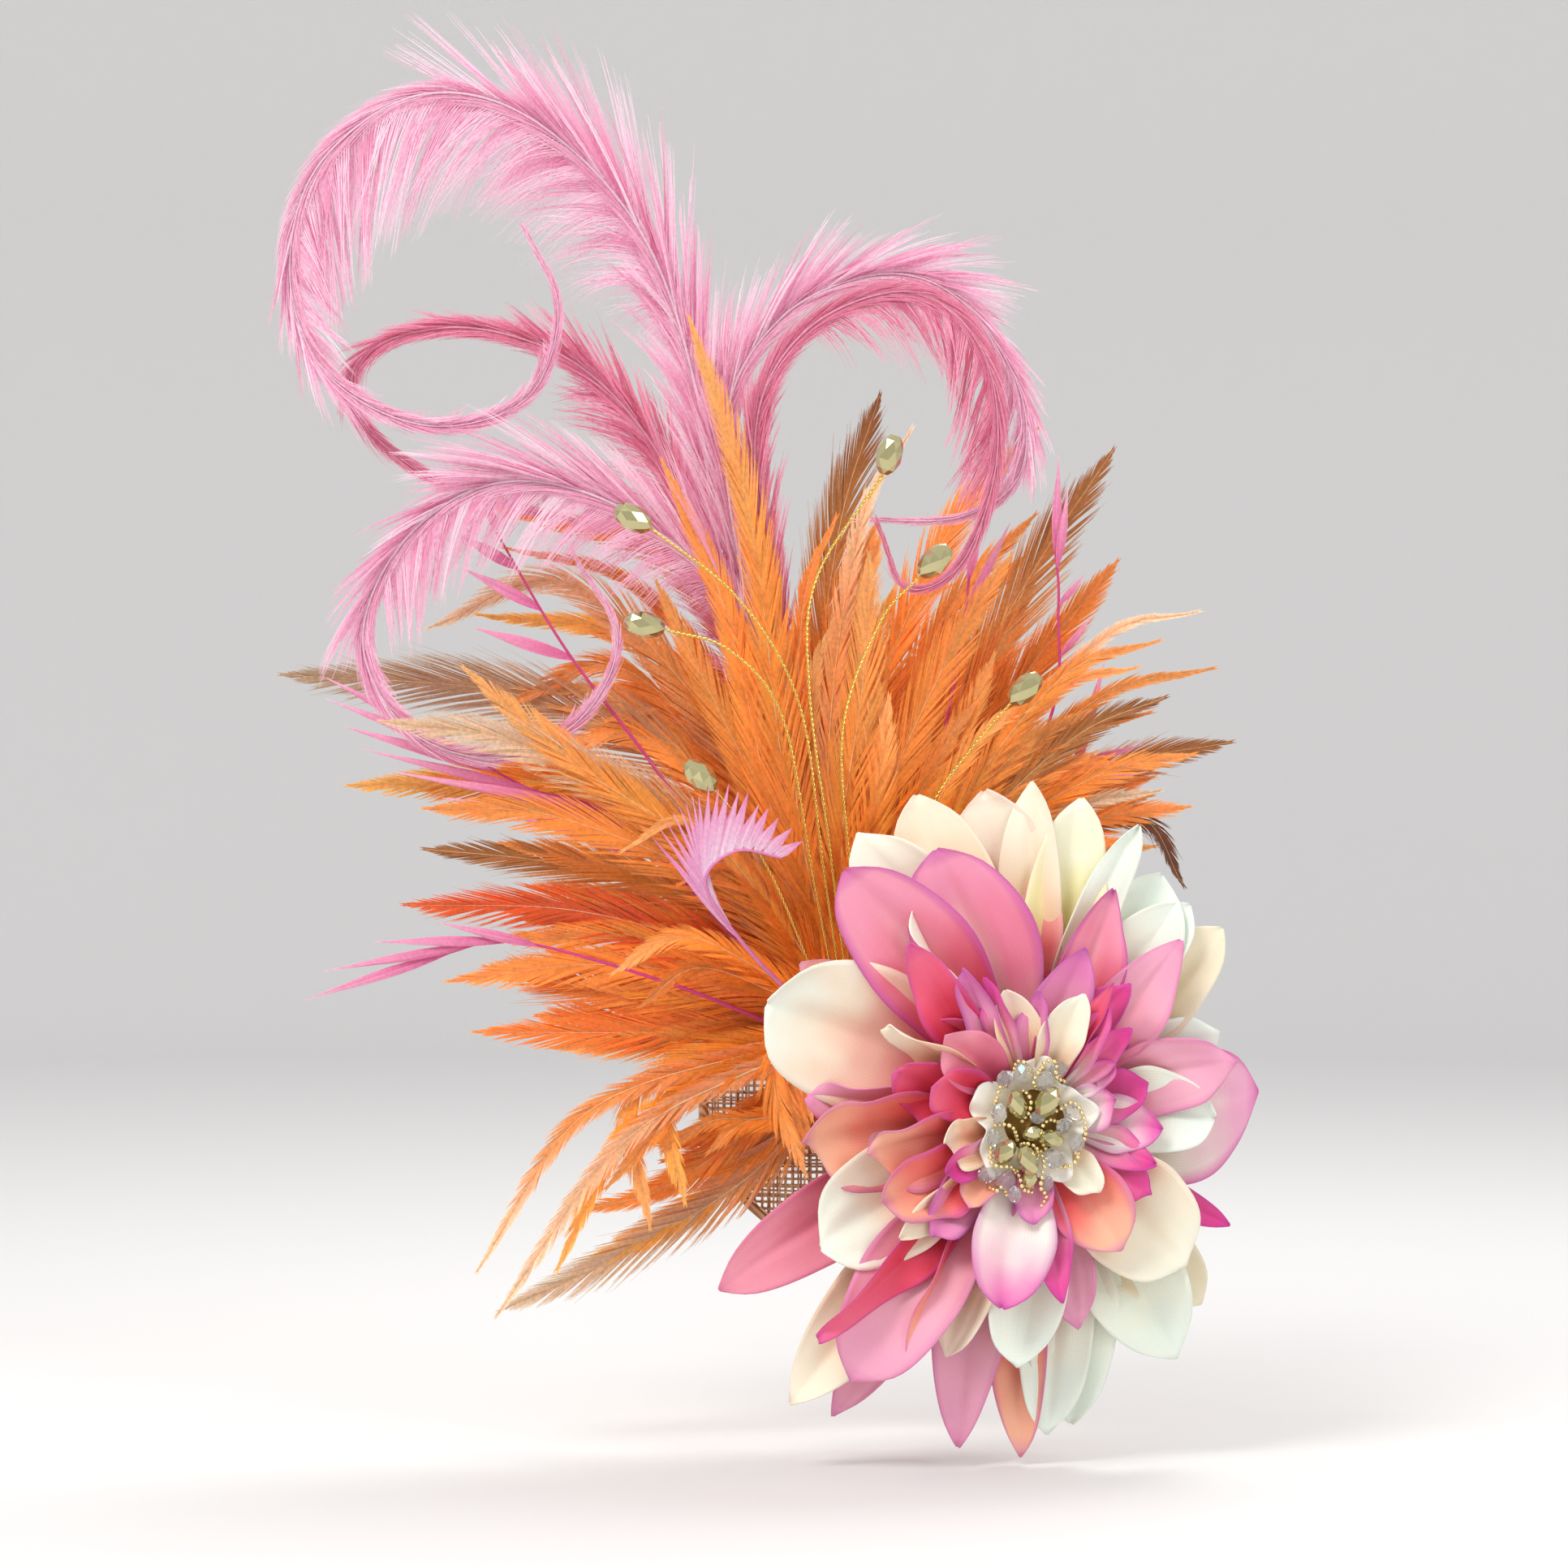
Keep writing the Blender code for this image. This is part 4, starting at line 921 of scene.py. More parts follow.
def grow_plume(row, seed):
    bed = FeatherBed()
    rng = random.Random(seed)
    seat_x, seat_z = seat_point(row.seat, SEAT_RADIUS)
    seat = at(seat_x, STEM_Y, seat_z)
    curl = [at(x, y, z) for x, z, y in row.curl]
    shoulder = seat.lerp(curl[0], 0.45)
    shoulder.y -= SHOULDER_RISE * MM
    quill = Quill([seat, shoulder, *curl], PLUME_STEPS)
    dye = [linear(value) for value in row.dye]
    bed.add_quill(quill, STEM_RADIUS, 0.15, mixed(dye[1], dye[2], 0.75), proud=0.5)
    grow_band(bed, quill, row, dye, rng)
    for fringe in row.fringes:
        grow_fringe(bed, quill, fringe, dye, rng)
    return bed.grow(row.node.replace("plume", "curled_plume"), PLUME_FINISH, 5, 0.25)


for seed, row in enumerate(PLUMES, start=21):
    settle(grow_plume(row, seed), "pink_feather", row.node)

# %% [markdown]
# A biot is a stiff strip stripped from the narrow side of a wing quill, so it is a stem with
# pointed fingers on one side only. A finger is a bundle of barbs that cling together: they start
# side by side, bow apart in the middle and meet again at the tip. The feather tree grows these
# too, from barbs that all aim at one point.

# %% The biot tables
Biot = namedtuple("Biot", "name seat stem fingers")
Finger = namedtuple("Finger", "share x z")

BIOTS = (
    Biot(
        "biot_left_long",
        173,
        ((-82, 84, -20), (-112, 95, -18), (-136, 109, -17)),
        (
            Finger(1.0, -174, 129), Finger(0.97, -173, 122), Finger(0.9, -169, 114), Finger(0.78, -163, 107),
            Finger(0.66, -154, 100), Finger(0.6, -138, 92), Finger(0.5, -118, 87),
        ),
    ),
    Biot(
        "biot_left_low",
        190,
        ((-70, 36, -20), (-115, 48, -17), (-138, 44, -15)),
        (Finger(1.0, -180, 30), Finger(0.92, -174, 39), Finger(0.84, -159, 48), Finger(0.76, -139, 54)),
    ),
    Biot(
        "biot_left_upper",
        156,
        ((-70, 97, -17), (-100, 137, -15), (-122, 174, -13)),
        (Finger(1.0, -127, 190), Finger(0.94, -133, 172), Finger(0.86, -132, 162), Finger(0.76, -129, 144)),
    ),
    Biot(
        "biot_right_tall",
        39,
        ((46, 112, -20), (50, 150, -18), (49, 168, -17)),
        (
            Finger(1.0, 50, 196), Finger(0.97, 53, 187), Finger(0.9, 58, 160), Finger(0.8, 60, 147),
            Finger(0.72, 63, 137),
        ),
    ),
    Biot(
        "biot_right_inner",
        56,
        ((14, 106, -19), (21, 145, -18), (23, 160, -18)),
        (Finger(1.0, 26, 176), Finger(0.92, 36, 177)),
    ),
    Biot(
        "biot_right_low",
        22,
        ((40, 84, -21), (52, 96, -20), (58, 104, -20)),
        (Finger(1.0, 76, 108), Finger(0.9, 78, 100), Finger(0.96, 64, 134)),
    ),
)
FRONT_FAN = Biot(
    "biot_front_fan",
    170,
    ((-44, 46, -38), (-57, 66, -45), (-48, 76, -47), (-34, 74, -47)),
    (
        Finger(0.48, -73, 80), Finger(0.51, -71, 83), Finger(0.54, -69, 85), Finger(0.57, -67, 88),
        Finger(0.6, -65, 90), Finger(0.63, -63, 91), Finger(0.66, -61, 93), Finger(0.69, -59, 93),
        Finger(0.72, -56, 96), Finger(0.75, -53, 95), Finger(0.78, -50, 96), Finger(0.81, -47, 94),
        Finger(0.84, -44, 94), Finger(0.87, -41, 90), Finger(0.9, -38, 89), Finger(0.93, -35, 86),
        Finger(0.96, -31, 83), Finger(0.99, -28, 79),
    ),
)
STEM_SLOPE = 0.09
FAN_SLOPE = 0.5
BIOT_DYE = PlumeDye("#DE4A8C", "#F07AB4", "#FBCBE2")
FAN_DYE = PlumeDye("#F09AD0", "#FFF2FC", "#EC7EC4")
FINGER_BARBS = 15
FINGER_BARB_WIDTH = 0.55
BIOT_HALF_WIDTH = 1.7
FAN_HALF_WIDTH = 1.3
BIOT_STEPS = 60
BIOT_FINISH = feather_material("dyed_keratin_biot", 0.36, 0.92, 1.08, 0.06)


def biot_quill(row, seat_y, seat_radius, slope):
    seat_x, seat_z = seat_point(row.seat, seat_radius)
    seat = at(seat_x, seat_y, seat_z)
    stem = [at(x, y, z) for x, z, y in row.stem]
    shoulder = seat.lerp(stem[0], 0.3)
    shoulder.y = seat.y - (shoulder - seat).length * slope
    return Quill([seat, shoulder, *stem], BIOT_STEPS)


def grow_biot(name, row, quill, dye, half_width, seed):
    """Fingers from the stem to their tips, each a bundle of barbs that bow apart and meet."""
    bed = FeatherBed()
    rng = random.Random(seed)
    shade, body, tip_colour = (linear(value) for value in dye)
    bed.add_quill(quill, STEM_RADIUS, STEM_RADIUS * 0.5, shade)
    for finger in row.fingers:
        share = finger.share * 0.985
        root, way, _ = quill.at_share(share)
        tip = at(finger.x, root.y / MM - 2, finger.z)
        aim = (tip - root).normalized()
        reach = (tip - root).length
        across = aim.cross(TO_VIEWER).normalized()
        for hair in range(FINGER_BARBS):
            side = 2 * hair / (FINGER_BARBS - 1) - 1
            start = root + way * side * half_width * 0.5 * MM
            length = reach * (1 - 0.22 * abs(side) ** 1.5) * rng.uniform(0.95, 1.0)
            bow = across * side * 4 * half_width * MM / reach
            rise = TO_VIEWER * (0.1 - 0.05 * side * side)
            leave = aim + bow + rise + (root - start) * 0.6 / reach
            curve = -(bow + rise) * length * 0.95
            colour = mixed(shade, body, 0.35 + 0.65 * rng.random())
            bed.add_point(
                start, is_barb=True, barb_way=leave.normalized(), barb_face=TO_VIEWER, barb_curve=curve,
                barb_length=leave.length * length, barb_width=FINGER_BARB_WIDTH * MM,
                root_colour=colour, tip_colour=mixed(colour, tip_colour, 0.55 + 0.45 * rng.random()),
            )
    settle(bed.grow(name, BIOT_FINISH, 6, 0.3), "pink_biot", row.name)


for number, row in enumerate(BIOTS):
    stem = biot_quill(row, STEM_Y, SEAT_RADIUS, STEM_SLOPE)
    grow_biot(row.name.replace("biot", "stiff_biot"), row, stem, BIOT_DYE, BIOT_HALF_WIDTH, 31 + number)
fan_stem = biot_quill(FRONT_FAN, FRONT_STEM_Y, FRONT_SEAT_RADIUS, FAN_SLOPE)
grow_biot("stiff_biot_front_fan", FRONT_FAN, fan_stem, FAN_DYE, FAN_HALF_WIDTH, 40)

# %% [markdown]
# The spray wires are gilt bullion: two fine wires twisted together, which glint in short dashes.
# A tree winds two strands round any route, so the twist follows each curve. The strand is
# 0.5 mm thick, a little more than the real one, so that the twist still shows.

# %% Twisted wire
def wire_tree():
    tree, start = new_tree(
        "twisted strands",
        (
            ("Strand radius", "Float", 0.00025),
            ("Twist pitch", "Float", 0.0032),
            ("Step", "Float", 0.0005),
            ("Material", "Material", None),
        ),
    )
    line = made(tree, "GeometryNodeMeshToCurve", {"Mesh": start["Geometry"]})
    even = made(tree, "GeometryNodeResampleCurve", {"Curve": line, "Length": start["Step"]}, mode="LENGTH")
    travelled = add_node(tree, "GeometryNodeSplineParameter").outputs["Length"]
    turns = math_node(tree, "DIVIDE", travelled, start["Twist pitch"])
    normal = made(tree, "GeometryNodeInputNormal")
    tangent = made(tree, "GeometryNodeInputTangent")
    strands = add_node(tree, "GeometryNodeJoinGeometry")
    for phase in (0.0, 0.5):
        angle = math_node(tree, "MULTIPLY", math_node(tree, "ADD", turns, phase), 2 * math.pi)
        swing = made(
            tree, "ShaderNodeVectorRotate", {"Vector": normal, "Axis": tangent, "Angle": angle},
            rotation_type="AXIS_ANGLE",
        )
        offset = scaled(tree, swing, start["Strand radius"])
        wound = made(tree, "GeometryNodeSetPosition", {"Geometry": even, "Offset": offset})
        tree.links.new(wound, strands.inputs[0])
    rods = tubes(tree, strands.outputs[0], start["Strand radius"], 5)
    finish_tree(tree, rods, start["Material"])
    return tree


def tubes(tree, curves, radius, sides):
    """Closed rods along some curves."""
    ring = made(tree, "GeometryNodeCurvePrimitiveCircle", {"Resolution": sides, "Radius": radius})
    rods = {"Curve": curves, "Profile Curve": ring, "Fill Caps": True}
    return made(tree, "GeometryNodeCurveToMesh", rods)


def path_mesh(name, routes):
    """Bare edges along some routes, for a tree to follow."""
    points = []
    edges = []
    for route in routes:
        edges += [(len(points) + i, len(points) + i + 1) for i in range(len(route) - 1)]
        points += route
    mesh = bpy.data.meshes.new(name)
    mesh.from_pydata(points, edges, [])
    return mesh


# Gilt brass is a smooth yellow metal: its colour is in its reflections, sharp and bright.
GILT, _, _ = new_material("gilt_brass_drawn", {"Base Color": "#F0CC6A", "Metallic": 1.0, "Roughness": 0.16})
WIRE_TREE = wire_tree()
print("wire tree nodes:", len(WIRE_TREE.nodes))

# %% [markdown]
# Each wire springs from the front pad, bends out and ends in one long faceted bead of fire-polished
# glass, 12 by 8 mm. A cut bead is rings of points, each turned half a side from the last, with flat
# facets between them. So few facets need no tree: a short loop lofts them.

# %% The beaded wires
BeadedWire = namedtuple("BeadedWire", "seat route bead_axis")
WIRES = (
    BeadedWire(116, ((-29, 120), (-47, 151), (-73, 172)), (-0.86, 0.5)),
    BeadedWire(132, ((-34, 116), (-50, 136), (-69, 142)), (-0.97, 0.25)),
    BeadedWire(100, ((-26, 125), (-24, 157), (-4, 188)), (0.3, 0.95)),
    BeadedWire(82, ((-16, 112), (-5, 144), (7, 158)), (0.7, 0.7)),
    BeadedWire(150, ((-36, 66), (-46, 84), (-54, 94)), (-0.7, 0.7)),
    BeadedWire(62, ((10, 88), (22, 106), (34, 120)), (0.7, 0.7)),
)
BEAD_LENGTH = 12
BEAD_SIDES = 8
BEAD_PROFILE = ((-6, 1.5), (-4.4, 3.0), (-1.6, 3.9), (1.6, 3.9), (4.4, 3.0), (6, 1.5))
WIRE_STEPS = 60
WIRE_TUCK = 1.5


def ring_points(centre, across, up, radius, sides, turn=0.0):
    angles = (2 * math.pi * (i + turn) / sides for i in range(sides))
    return [centre + (across * math.cos(a) + up * math.sin(a)) * radius for a in angles]


def faceted(mesh, centre, axis, profile, sides):
    """Adds a cut bead: rings of points half a side apart, joined by triangular facets."""
    across = axis.orthogonal().normalized()
    up = axis.cross(across)
    loops = []
    for index, (along, radius) in enumerate(profile):
        points = ring_points(centre + axis * along * MM, across, up, radius * MM, sides, (index % 2) / 2)
        loops.append([mesh.verts.new(point) for point in points])
    for index, (lower, upper) in enumerate(zip(loops, loops[1:])):
        for i in range(sides):
            j = (i + 1) % sides
            if index % 2 == 0:
                mesh.faces.new((lower[i], lower[j], upper[i]))
                mesh.faces.new((lower[j], upper[j], upper[i]))
            else:
                mesh.faces.new((lower[i], lower[j], upper[j]))
                mesh.faces.new((lower[i], upper[j], upper[i]))
    mesh.faces.new(loops[0])
    mesh.faces.new(loops[-1])


def new_piece(name, mesh, material, smooth=False):
    """A finished piece from a bmesh, faces turned outwards."""
    bmesh.ops.recalc_face_normals(mesh, faces=mesh.faces)
    for face in mesh.faces:
        face.smooth = smooth
    data = bpy.data.meshes.new(name)
    mesh.to_mesh(data)
    mesh.free()
    data.materials.append(material)
    piece = bpy.data.objects.new(name, data)
    scene.collection.objects.link(piece)
    print(name, "has", len(data.polygons), "faces")
    return piece


# The spray beads are smoky glass with a gold lustre, a thin metal film fired on: pale olive facets
# that each show one clear reflection, under the glassy shine of a coat.
SMOKY, _, _ = new_material(
    "fire_polished_glass_gold_lustre",
    {
        "Base Color": "#C4BC8A", "Metallic": 0.85, "Roughness": 0.07,
        "Coat Weight": 0.6, "Coat Roughness": 0.03,
    },
)
for number, row in enumerate(WIRES, start=1):
    seat_x, seat_z = seat_point(row.seat, FRONT_SEAT_RADIUS)
    seat = at(seat_x, WIRE_Y, seat_z)
    x, z = (seat_x + row.route[0][0]) / 2, (seat_z + row.route[0][1]) / 2
    shoulder, *points = (
        at(x, layer_y(x, z, WIRE_Y, WIRE_SLOPES.near, WIRE_SLOPES.far), z) for x, z in ((x, z), *row.route)
    )
    axis = Vector((row.bead_axis[0], -0.1, row.bead_axis[1])).normalized()
    route = smooth_route([seat, shoulder, *points], WIRE_STEPS)
    source = path_mesh(f"wire_route_{number}", [[*route, points[-1] + axis * WIRE_TUCK * MM]])
    wire = realised(f"gilt_wire_{number}", source, WIRE_TREE, {"Material": GILT})
    settle(wire, "gold_wire", f"spray_wire_{number}")
    bead = bmesh.new()
    centre = points[-1] + axis * (BEAD_LENGTH / 2 + GAP) * MM
    faceted(bead, centre, axis, BEAD_PROFILE, BEAD_SIDES)
    settle(new_piece(f"faceted_bead_{number}", bead, SMOKY), "bead_glass", f"spray_bead_{number}")

# %% [markdown]
# The flower is made of silk petals, cut with a hot iron, hand-dyed and then cupped and creased
# while damp. Each petal is a small grid bent by a few values: how far it arches, its cup across,
# a crease down its middle, the curl of its tip and the ruffle of its edge. Its colours are painted
# on its points: one at the root, one in the body, one at the tip, a darker line at the rim and
# on some a pale stripe. On the pink petals the root colour is dye; on the cream, mint, yellow and
# tan ones it is a warm painted shade, where the petal runs in under the others to the hub.
# Subdivision rounds the grid, and Solidify gives the cloth its thickness.

# %% Petal dyes and painted root shade
PetalDyeAndRootShade = namedtuple("PetalDyeAndRootShade", "root body tip rim rim_share root_end stripe")
# The root colour is dye on the pink petals and painted shade on the cream, mint, yellow and tan ones, where
# each runs in under the others to the hub.
PETAL_DYES_AND_ROOT_SHADE = {
    "cream": PetalDyeAndRootShade("#E9B890", "#FAEFD4", "#F8F6E2", "#FBF0E0", 0.2, 0.42, 0.0),
    "cream_peach": PetalDyeAndRootShade("#E07A58", "#F8D4AA", "#FBF0D8", "#FBE9D2", 0.3, 0.4, 0.0),
    "blush": PetalDyeAndRootShade("#DA2444", "#F8A29C", "#FBF2DC", "#F8CCC4", 0.4, 0.5, 0.2),
    "yellow": PetalDyeAndRootShade("#EE9A70", "#F9F0A6", "#FAF8E2", "#FAF2E0", 0.3, 0.34, 0.0),
    "mint": PetalDyeAndRootShade("#EBCBB0", "#F6F7E2", "#ECF8EC", "#F8F8EC", 0.2, 0.34, 0.0),
    "mint_pink": PetalDyeAndRootShade("#E0506C", "#FADEC0", "#F2F9EA", "#F9ECE2", 0.2, 0.42, 0.0),
    "tan": PetalDyeAndRootShade("#B98660", "#E9CFA4", "#F4E8CA", "#F8EDD8", 0.6, 0.3, 0.0),
    "pink": PetalDyeAndRootShade("#D6243E", "#EE8098", "#EF9AB4", "#C2469E", 0.8, 0.48, 0.5),
    "stripe": PetalDyeAndRootShade("#F8E4DC", "#EE84A0", "#F09CBA", "#C0489E", 0.8, 0.22, 0.95),
    "magenta": PetalDyeAndRootShade("#F8DCD2", "#F47CAE", "#E03C94", "#C03A9C", 0.6, 0.42, 0.1),
    "white_magenta": PetalDyeAndRootShade("#F6F0E4", "#F9EAE4", "#EC62B0", "#C846A8", 0.6, 0.48, 0.1),
    "coral": PetalDyeAndRootShade("#DA2240", "#F8786C", "#FABA9A", "#CE5CB0", 0.6, 0.5, 0.1),
    "deep": PetalDyeAndRootShade("#C4163A", "#EC3E5C", "#F26A8C", "#C8449C", 0.6, 0.55, 0.0),
    "rose": PetalDyeAndRootShade("#C43A62", "#E87890", "#EE98AA", "#DC649C", 0.4, 0.42, 0.0),
    "pale_pink": PetalDyeAndRootShade("#E46C80", "#F2B0C2", "#F0A4C2", "#DC68AC", 0.5, 0.4, 0.1),
    "wide": PetalDyeAndRootShade("#F0C8C4", "#F6EEDE", "#F0A8C8", "#E070B0", 1.0, 0.3, 0.3),
    "lilac": PetalDyeAndRootShade("#E4607C", "#F0A0C2", "#E078B4", "#B84CA6", 0.7, 0.42, 0.2),
}


def petal_colour(dye, u, v, wander):
    """The colour at a point, dye with painted root shade: u from root to tip, v from -1 to 1 across."""
    root, body, tip, rim = (linear(value) for value in dye[:4])
    # The root colour: dye, and on the pale petals painted shade towards the hub.
    colour = mixed(root, body, smooth_step(dye.root_end - 0.3, dye.root_end + 0.3, u + wander))
    colour = mixed(colour, tip, smooth_step(0.5, 1.0, u + wander))
    middle = math.exp(-((v / 0.2) ** 2))
    stripe = dye.stripe * middle * smooth_step(0.0, 0.25, u) * (1 - smooth_step(0.5, 0.9, u))
    colour = mixed(colour, linear("#FBEDE2"), stripe)
    edge = max(smooth_step(0.8, 1.0, abs(v)) * smooth_step(0.1, 0.5, u), smooth_step(0.93, 1.0, u))
    return mixed(colour, rim, min(1, dye.rim_share * edge))


# Polyester silk is woven from shiny filament: fine threads, a soft sheen at grazing angles.
SILK, silk_tree, silk_shader = new_material(
    "dyed_silk_plain_weave", {"Roughness": 0.6, "Sheen Weight": 0.2, "Sheen Roughness": 0.35}
)
THREAD_PITCH = 0.7  # millimetres; the real 0.3 would not show
WAVE_TURN = 2 * math.pi / 20  # a wave texture at scale 1 repeats after this distance
# The colours painted on the points: dye, and on the pale petals painted root shade.
painted_dye_and_root_shade = add_node(silk_tree, "ShaderNodeAttribute", attribute_name="dye")
cloth = made(silk_tree, "ShaderNodeUVMap", uv_map="cloth")
wave_in = {"Vector": cloth, "Scale": WAVE_TURN / (THREAD_PITCH * MM), "Distortion": 0.4}
threads = [
    add_node(silk_tree, "ShaderNodeTexWave", wave_in, bands_direction=way).outputs["Fac"]
    for way in ("X", "Y")
]
weave = made(silk_tree, "ShaderNodeMath", {0: threads[0], 1: threads[1]}, operation="MULTIPLY")
shade = made(silk_tree, "ShaderNodeMapRange", {0: weave, 3: 0.93, 4: 1.05})
woven = made(
    silk_tree, "ShaderNodeVectorMath", {0: painted_dye_and_root_shade.outputs["Color"], "Scale": shade}, operation="SCALE"
)
silk_tree.links.new(woven, silk_shader.inputs["Base Color"])
relief = made(silk_tree, "ShaderNodeBump", {"Height": weave, "Strength": 0.12, "Distance": 0.0002})
silk_tree.links.new(relief, silk_shader.inputs["Normal"])
print(len(PETAL_DYES_AND_ROOT_SHADE), "petal dyes")

# %% [markdown]
# A row of the table is one petal: its tip as seen from the front, its width, the arch and roll of
# its solid, then what only the cloth has. Point is 0 for a round end and 1 for a sharp one, cup
# lifts its edges, curl turns its tip to the viewer, and ruffle waves its edge, in millimetres.

# %% The petal tables
Petal = namedtuple("Petal", "tip width arch roll point cup curl ruffle dye")
BACK_PETALS = (
    Petal((6, 93), 27, 4, 0, 0.0, 3, -3, 1.6, "cream_peach"),
    Petal((-12, 82), 25, 3, 6, 0.0, 3, -4, 1.4, "cream"),
    Petal((26, 94), 30, 4, 0, 0.0, 4, 2, 1.8, "blush"),
    Petal((40, 97), 18, 2, 0, 0.3, 2, -2, 0.8, "cream_peach"),
    Petal((55, 92), 23, 4, -4, 0.2, 5, 2, 1.2, "yellow"),
    Petal((72, 84), 13, 5, -8, 0.2, 3, 6, 1.6, "mint"),
    Petal((80, 69), 27, 4, 0, 0.1, 4, -3, 1.0, "mint"),
    Petal((88, 60), 22, 4, 4, 0.2, 3, -2, 1.0, "mint"),
    Petal((98, 53), 22, 3, 4, 0.2, 3, -3, 0.8, "tan"),
    Petal((97, 22), 24, 3, 0, 0.2, 3, 1, 1.8, "mint"),
    Petal((109, 4), 38, 5, 0, 0.2, 6, 2, 1.2, "wide"),
    Petal((100, -36), 11, 2, 0, 0.6, 2, 1, 0.6, "magenta"),
    Petal((92, -60), 25, 3, 4, 0.2, 4, -2, 0.8, "tan"),
    Petal((84, -76), 29, 4, 0, 0.3, 5, -2, 1.0, "mint"),
    Petal((52, -95), 26, 4, 0, 0.2, 4, 1, 1.0, "mint"),
    Petal((45, -98), 21, 2, 4, 0.2, 3, -2, 0.8, "mint"),
    Petal((37, -105), 16, 3, 0, 0.3, 4, 3, 1.0, "coral"),
    Petal((18, -101), 21, 4, 0, 0.7, 3, -2, 0.8, "pale_pink"),
    Petal((-19, -92), 17, 3, 0, 0.5, 3, -2, 1.0, "pale_pink"),
    Petal((-32, -87), 24, 4, -6, 0.5, 5, -2, 0.8, "cream_peach"),
    Petal((-53, -54), 23, 4, 0, 0.4, 3, -2, 0.8, "rose"),
    Petal((-29, 43), 22, 3, 0, 0.3, 3, -2, 0.6, "coral"),
)
OUTER_PETALS = (
    Petal((-39, 32), 38, 2, 10, 0.0, 5, 5, 1.0, "mint_pink"),
    Petal((-16, 71), 29, 3, 6, 0.2, 5, -3, 0.8, "pink"),
    Petal((11, 77), 32, 3, 4, 0.2, 5, -3, 0.8, "stripe"),
    Petal((3, 60), 12, 7, 55, 0.5, 2, 6, 3.0, "cream"),
    Petal((64, 65), 18, 3, 0, 0.8, 4, -2, 1.2, "pink"),
    Petal((84, 50), 19, 3, 0, 0.8, 3, -2, 1.0, "pale_pink"),
    Petal((79, 40), 15, 2, 0, 0.7, 3, 2, 1.2, "pink"),
    Petal((101, 14), 20, 3, 0, 0.4, 3, 2, 1.6, "pale_pink"),
    Petal((-14, -80), 28, 4, 0, 0.2, 4, -3, 1.0, "pale_pink"),
    Petal((-24, -66), 13, 4, 40, 0.6, 3, 2, 1.6, "deep"),
    Petal((-23, -40), 30, 4, 0, 0.0, 5, 2, 1.0, "mint_pink"),
    Petal((-28, -9), 28, 3, 22, 0.3, 6, 5, 2.2, "coral"),
    Petal((-27, 5), 18, 3, 30, 0.4, 5, 4, 1.8, "pale_pink"),
    Petal((35, -76), 20, 3, 0, 0.1, 4, 2, 0.8, "mint"),
    Petal((14, -73), 17, 3, -8, 0.3, 4, -2, 1.2, "cream_peach"),
    Petal((2, -74), 12, 3, 30, 0.5, 3, 2, 1.4, "coral"),
    Petal((86, -47), 30, 4, 0, 0.1, 5, 1, 1.0, "cream"),
    Petal((94, -3), 22, 3, 0, 0.1, 4, 2, 1.4, "mint"),
    Petal((54, -65), 16, 3, 0, 0.4, 3, 1, 1.0, "pale_pink"),
)
MIDDLE_PETALS = (
    Petal((78, -6), 14, 1, 0, 0.6, 3, 0, 0.8, "white_magenta"),
    Petal((74, 8), 13, 1, 0, 0.5, 2, 1, 1.0, "magenta"),
    Petal((75, -25), 13, 1, 0, 0.6, 2, 2, 1.6, "magenta"),
    Petal((76, -16), 10, 1, 10, 0.5, 2, 3, 1.4, "magenta"),
    Petal((66, -41), 19, 2, 0, 0.4, 4, 0, 1.0, "coral"),
    Petal((30, -57), 20, 4, 0, 0.3, 4, 1, 0.8, "white_magenta"),
    Petal((39, -42), 10, 1, 20, 0.5, 3, 4, 1.6, "lilac"),
    Petal((48, -56), 10, 1, 10, 0.7, 3, 2, 1.4, "magenta"),
    Petal((9, -37), 13, 1, 14, 0.4, 4, 5, 2.0, "lilac"),
    Petal((-5, -26), 18, 1, 24, 0.3, 5, 4, 2.2, "coral"),
    Petal((0, -36), 12, 1, 30, 0.5, 3, 2, 1.2, "cream_peach"),
    Petal((-10, -12), 19, 2, 30, 0.3, 5, 5, 2.2, "coral"),
    Petal((-2, 12), 17, 2, 24, 0.4, 4, 4, 1.6, "deep"),
    Petal((-4, 26), 13, 3, 45, 0.4, 3, 5, 2.2, "cream_peach"),
    Petal((12, 27), 16, 1, 20, 0.4, 4, 4, 1.4, "deep"),
    Petal((3, 50), 13, 2, 20, 0.5, 4, 3, 1.4, "deep"),
    Petal((55, 48), 14, 1, 0, 0.6, 3, 1, 1.2, "lilac"),
    Petal((68, 38), 11, 1, 14, 0.5, 3, 3, 1.4, "magenta"),
)
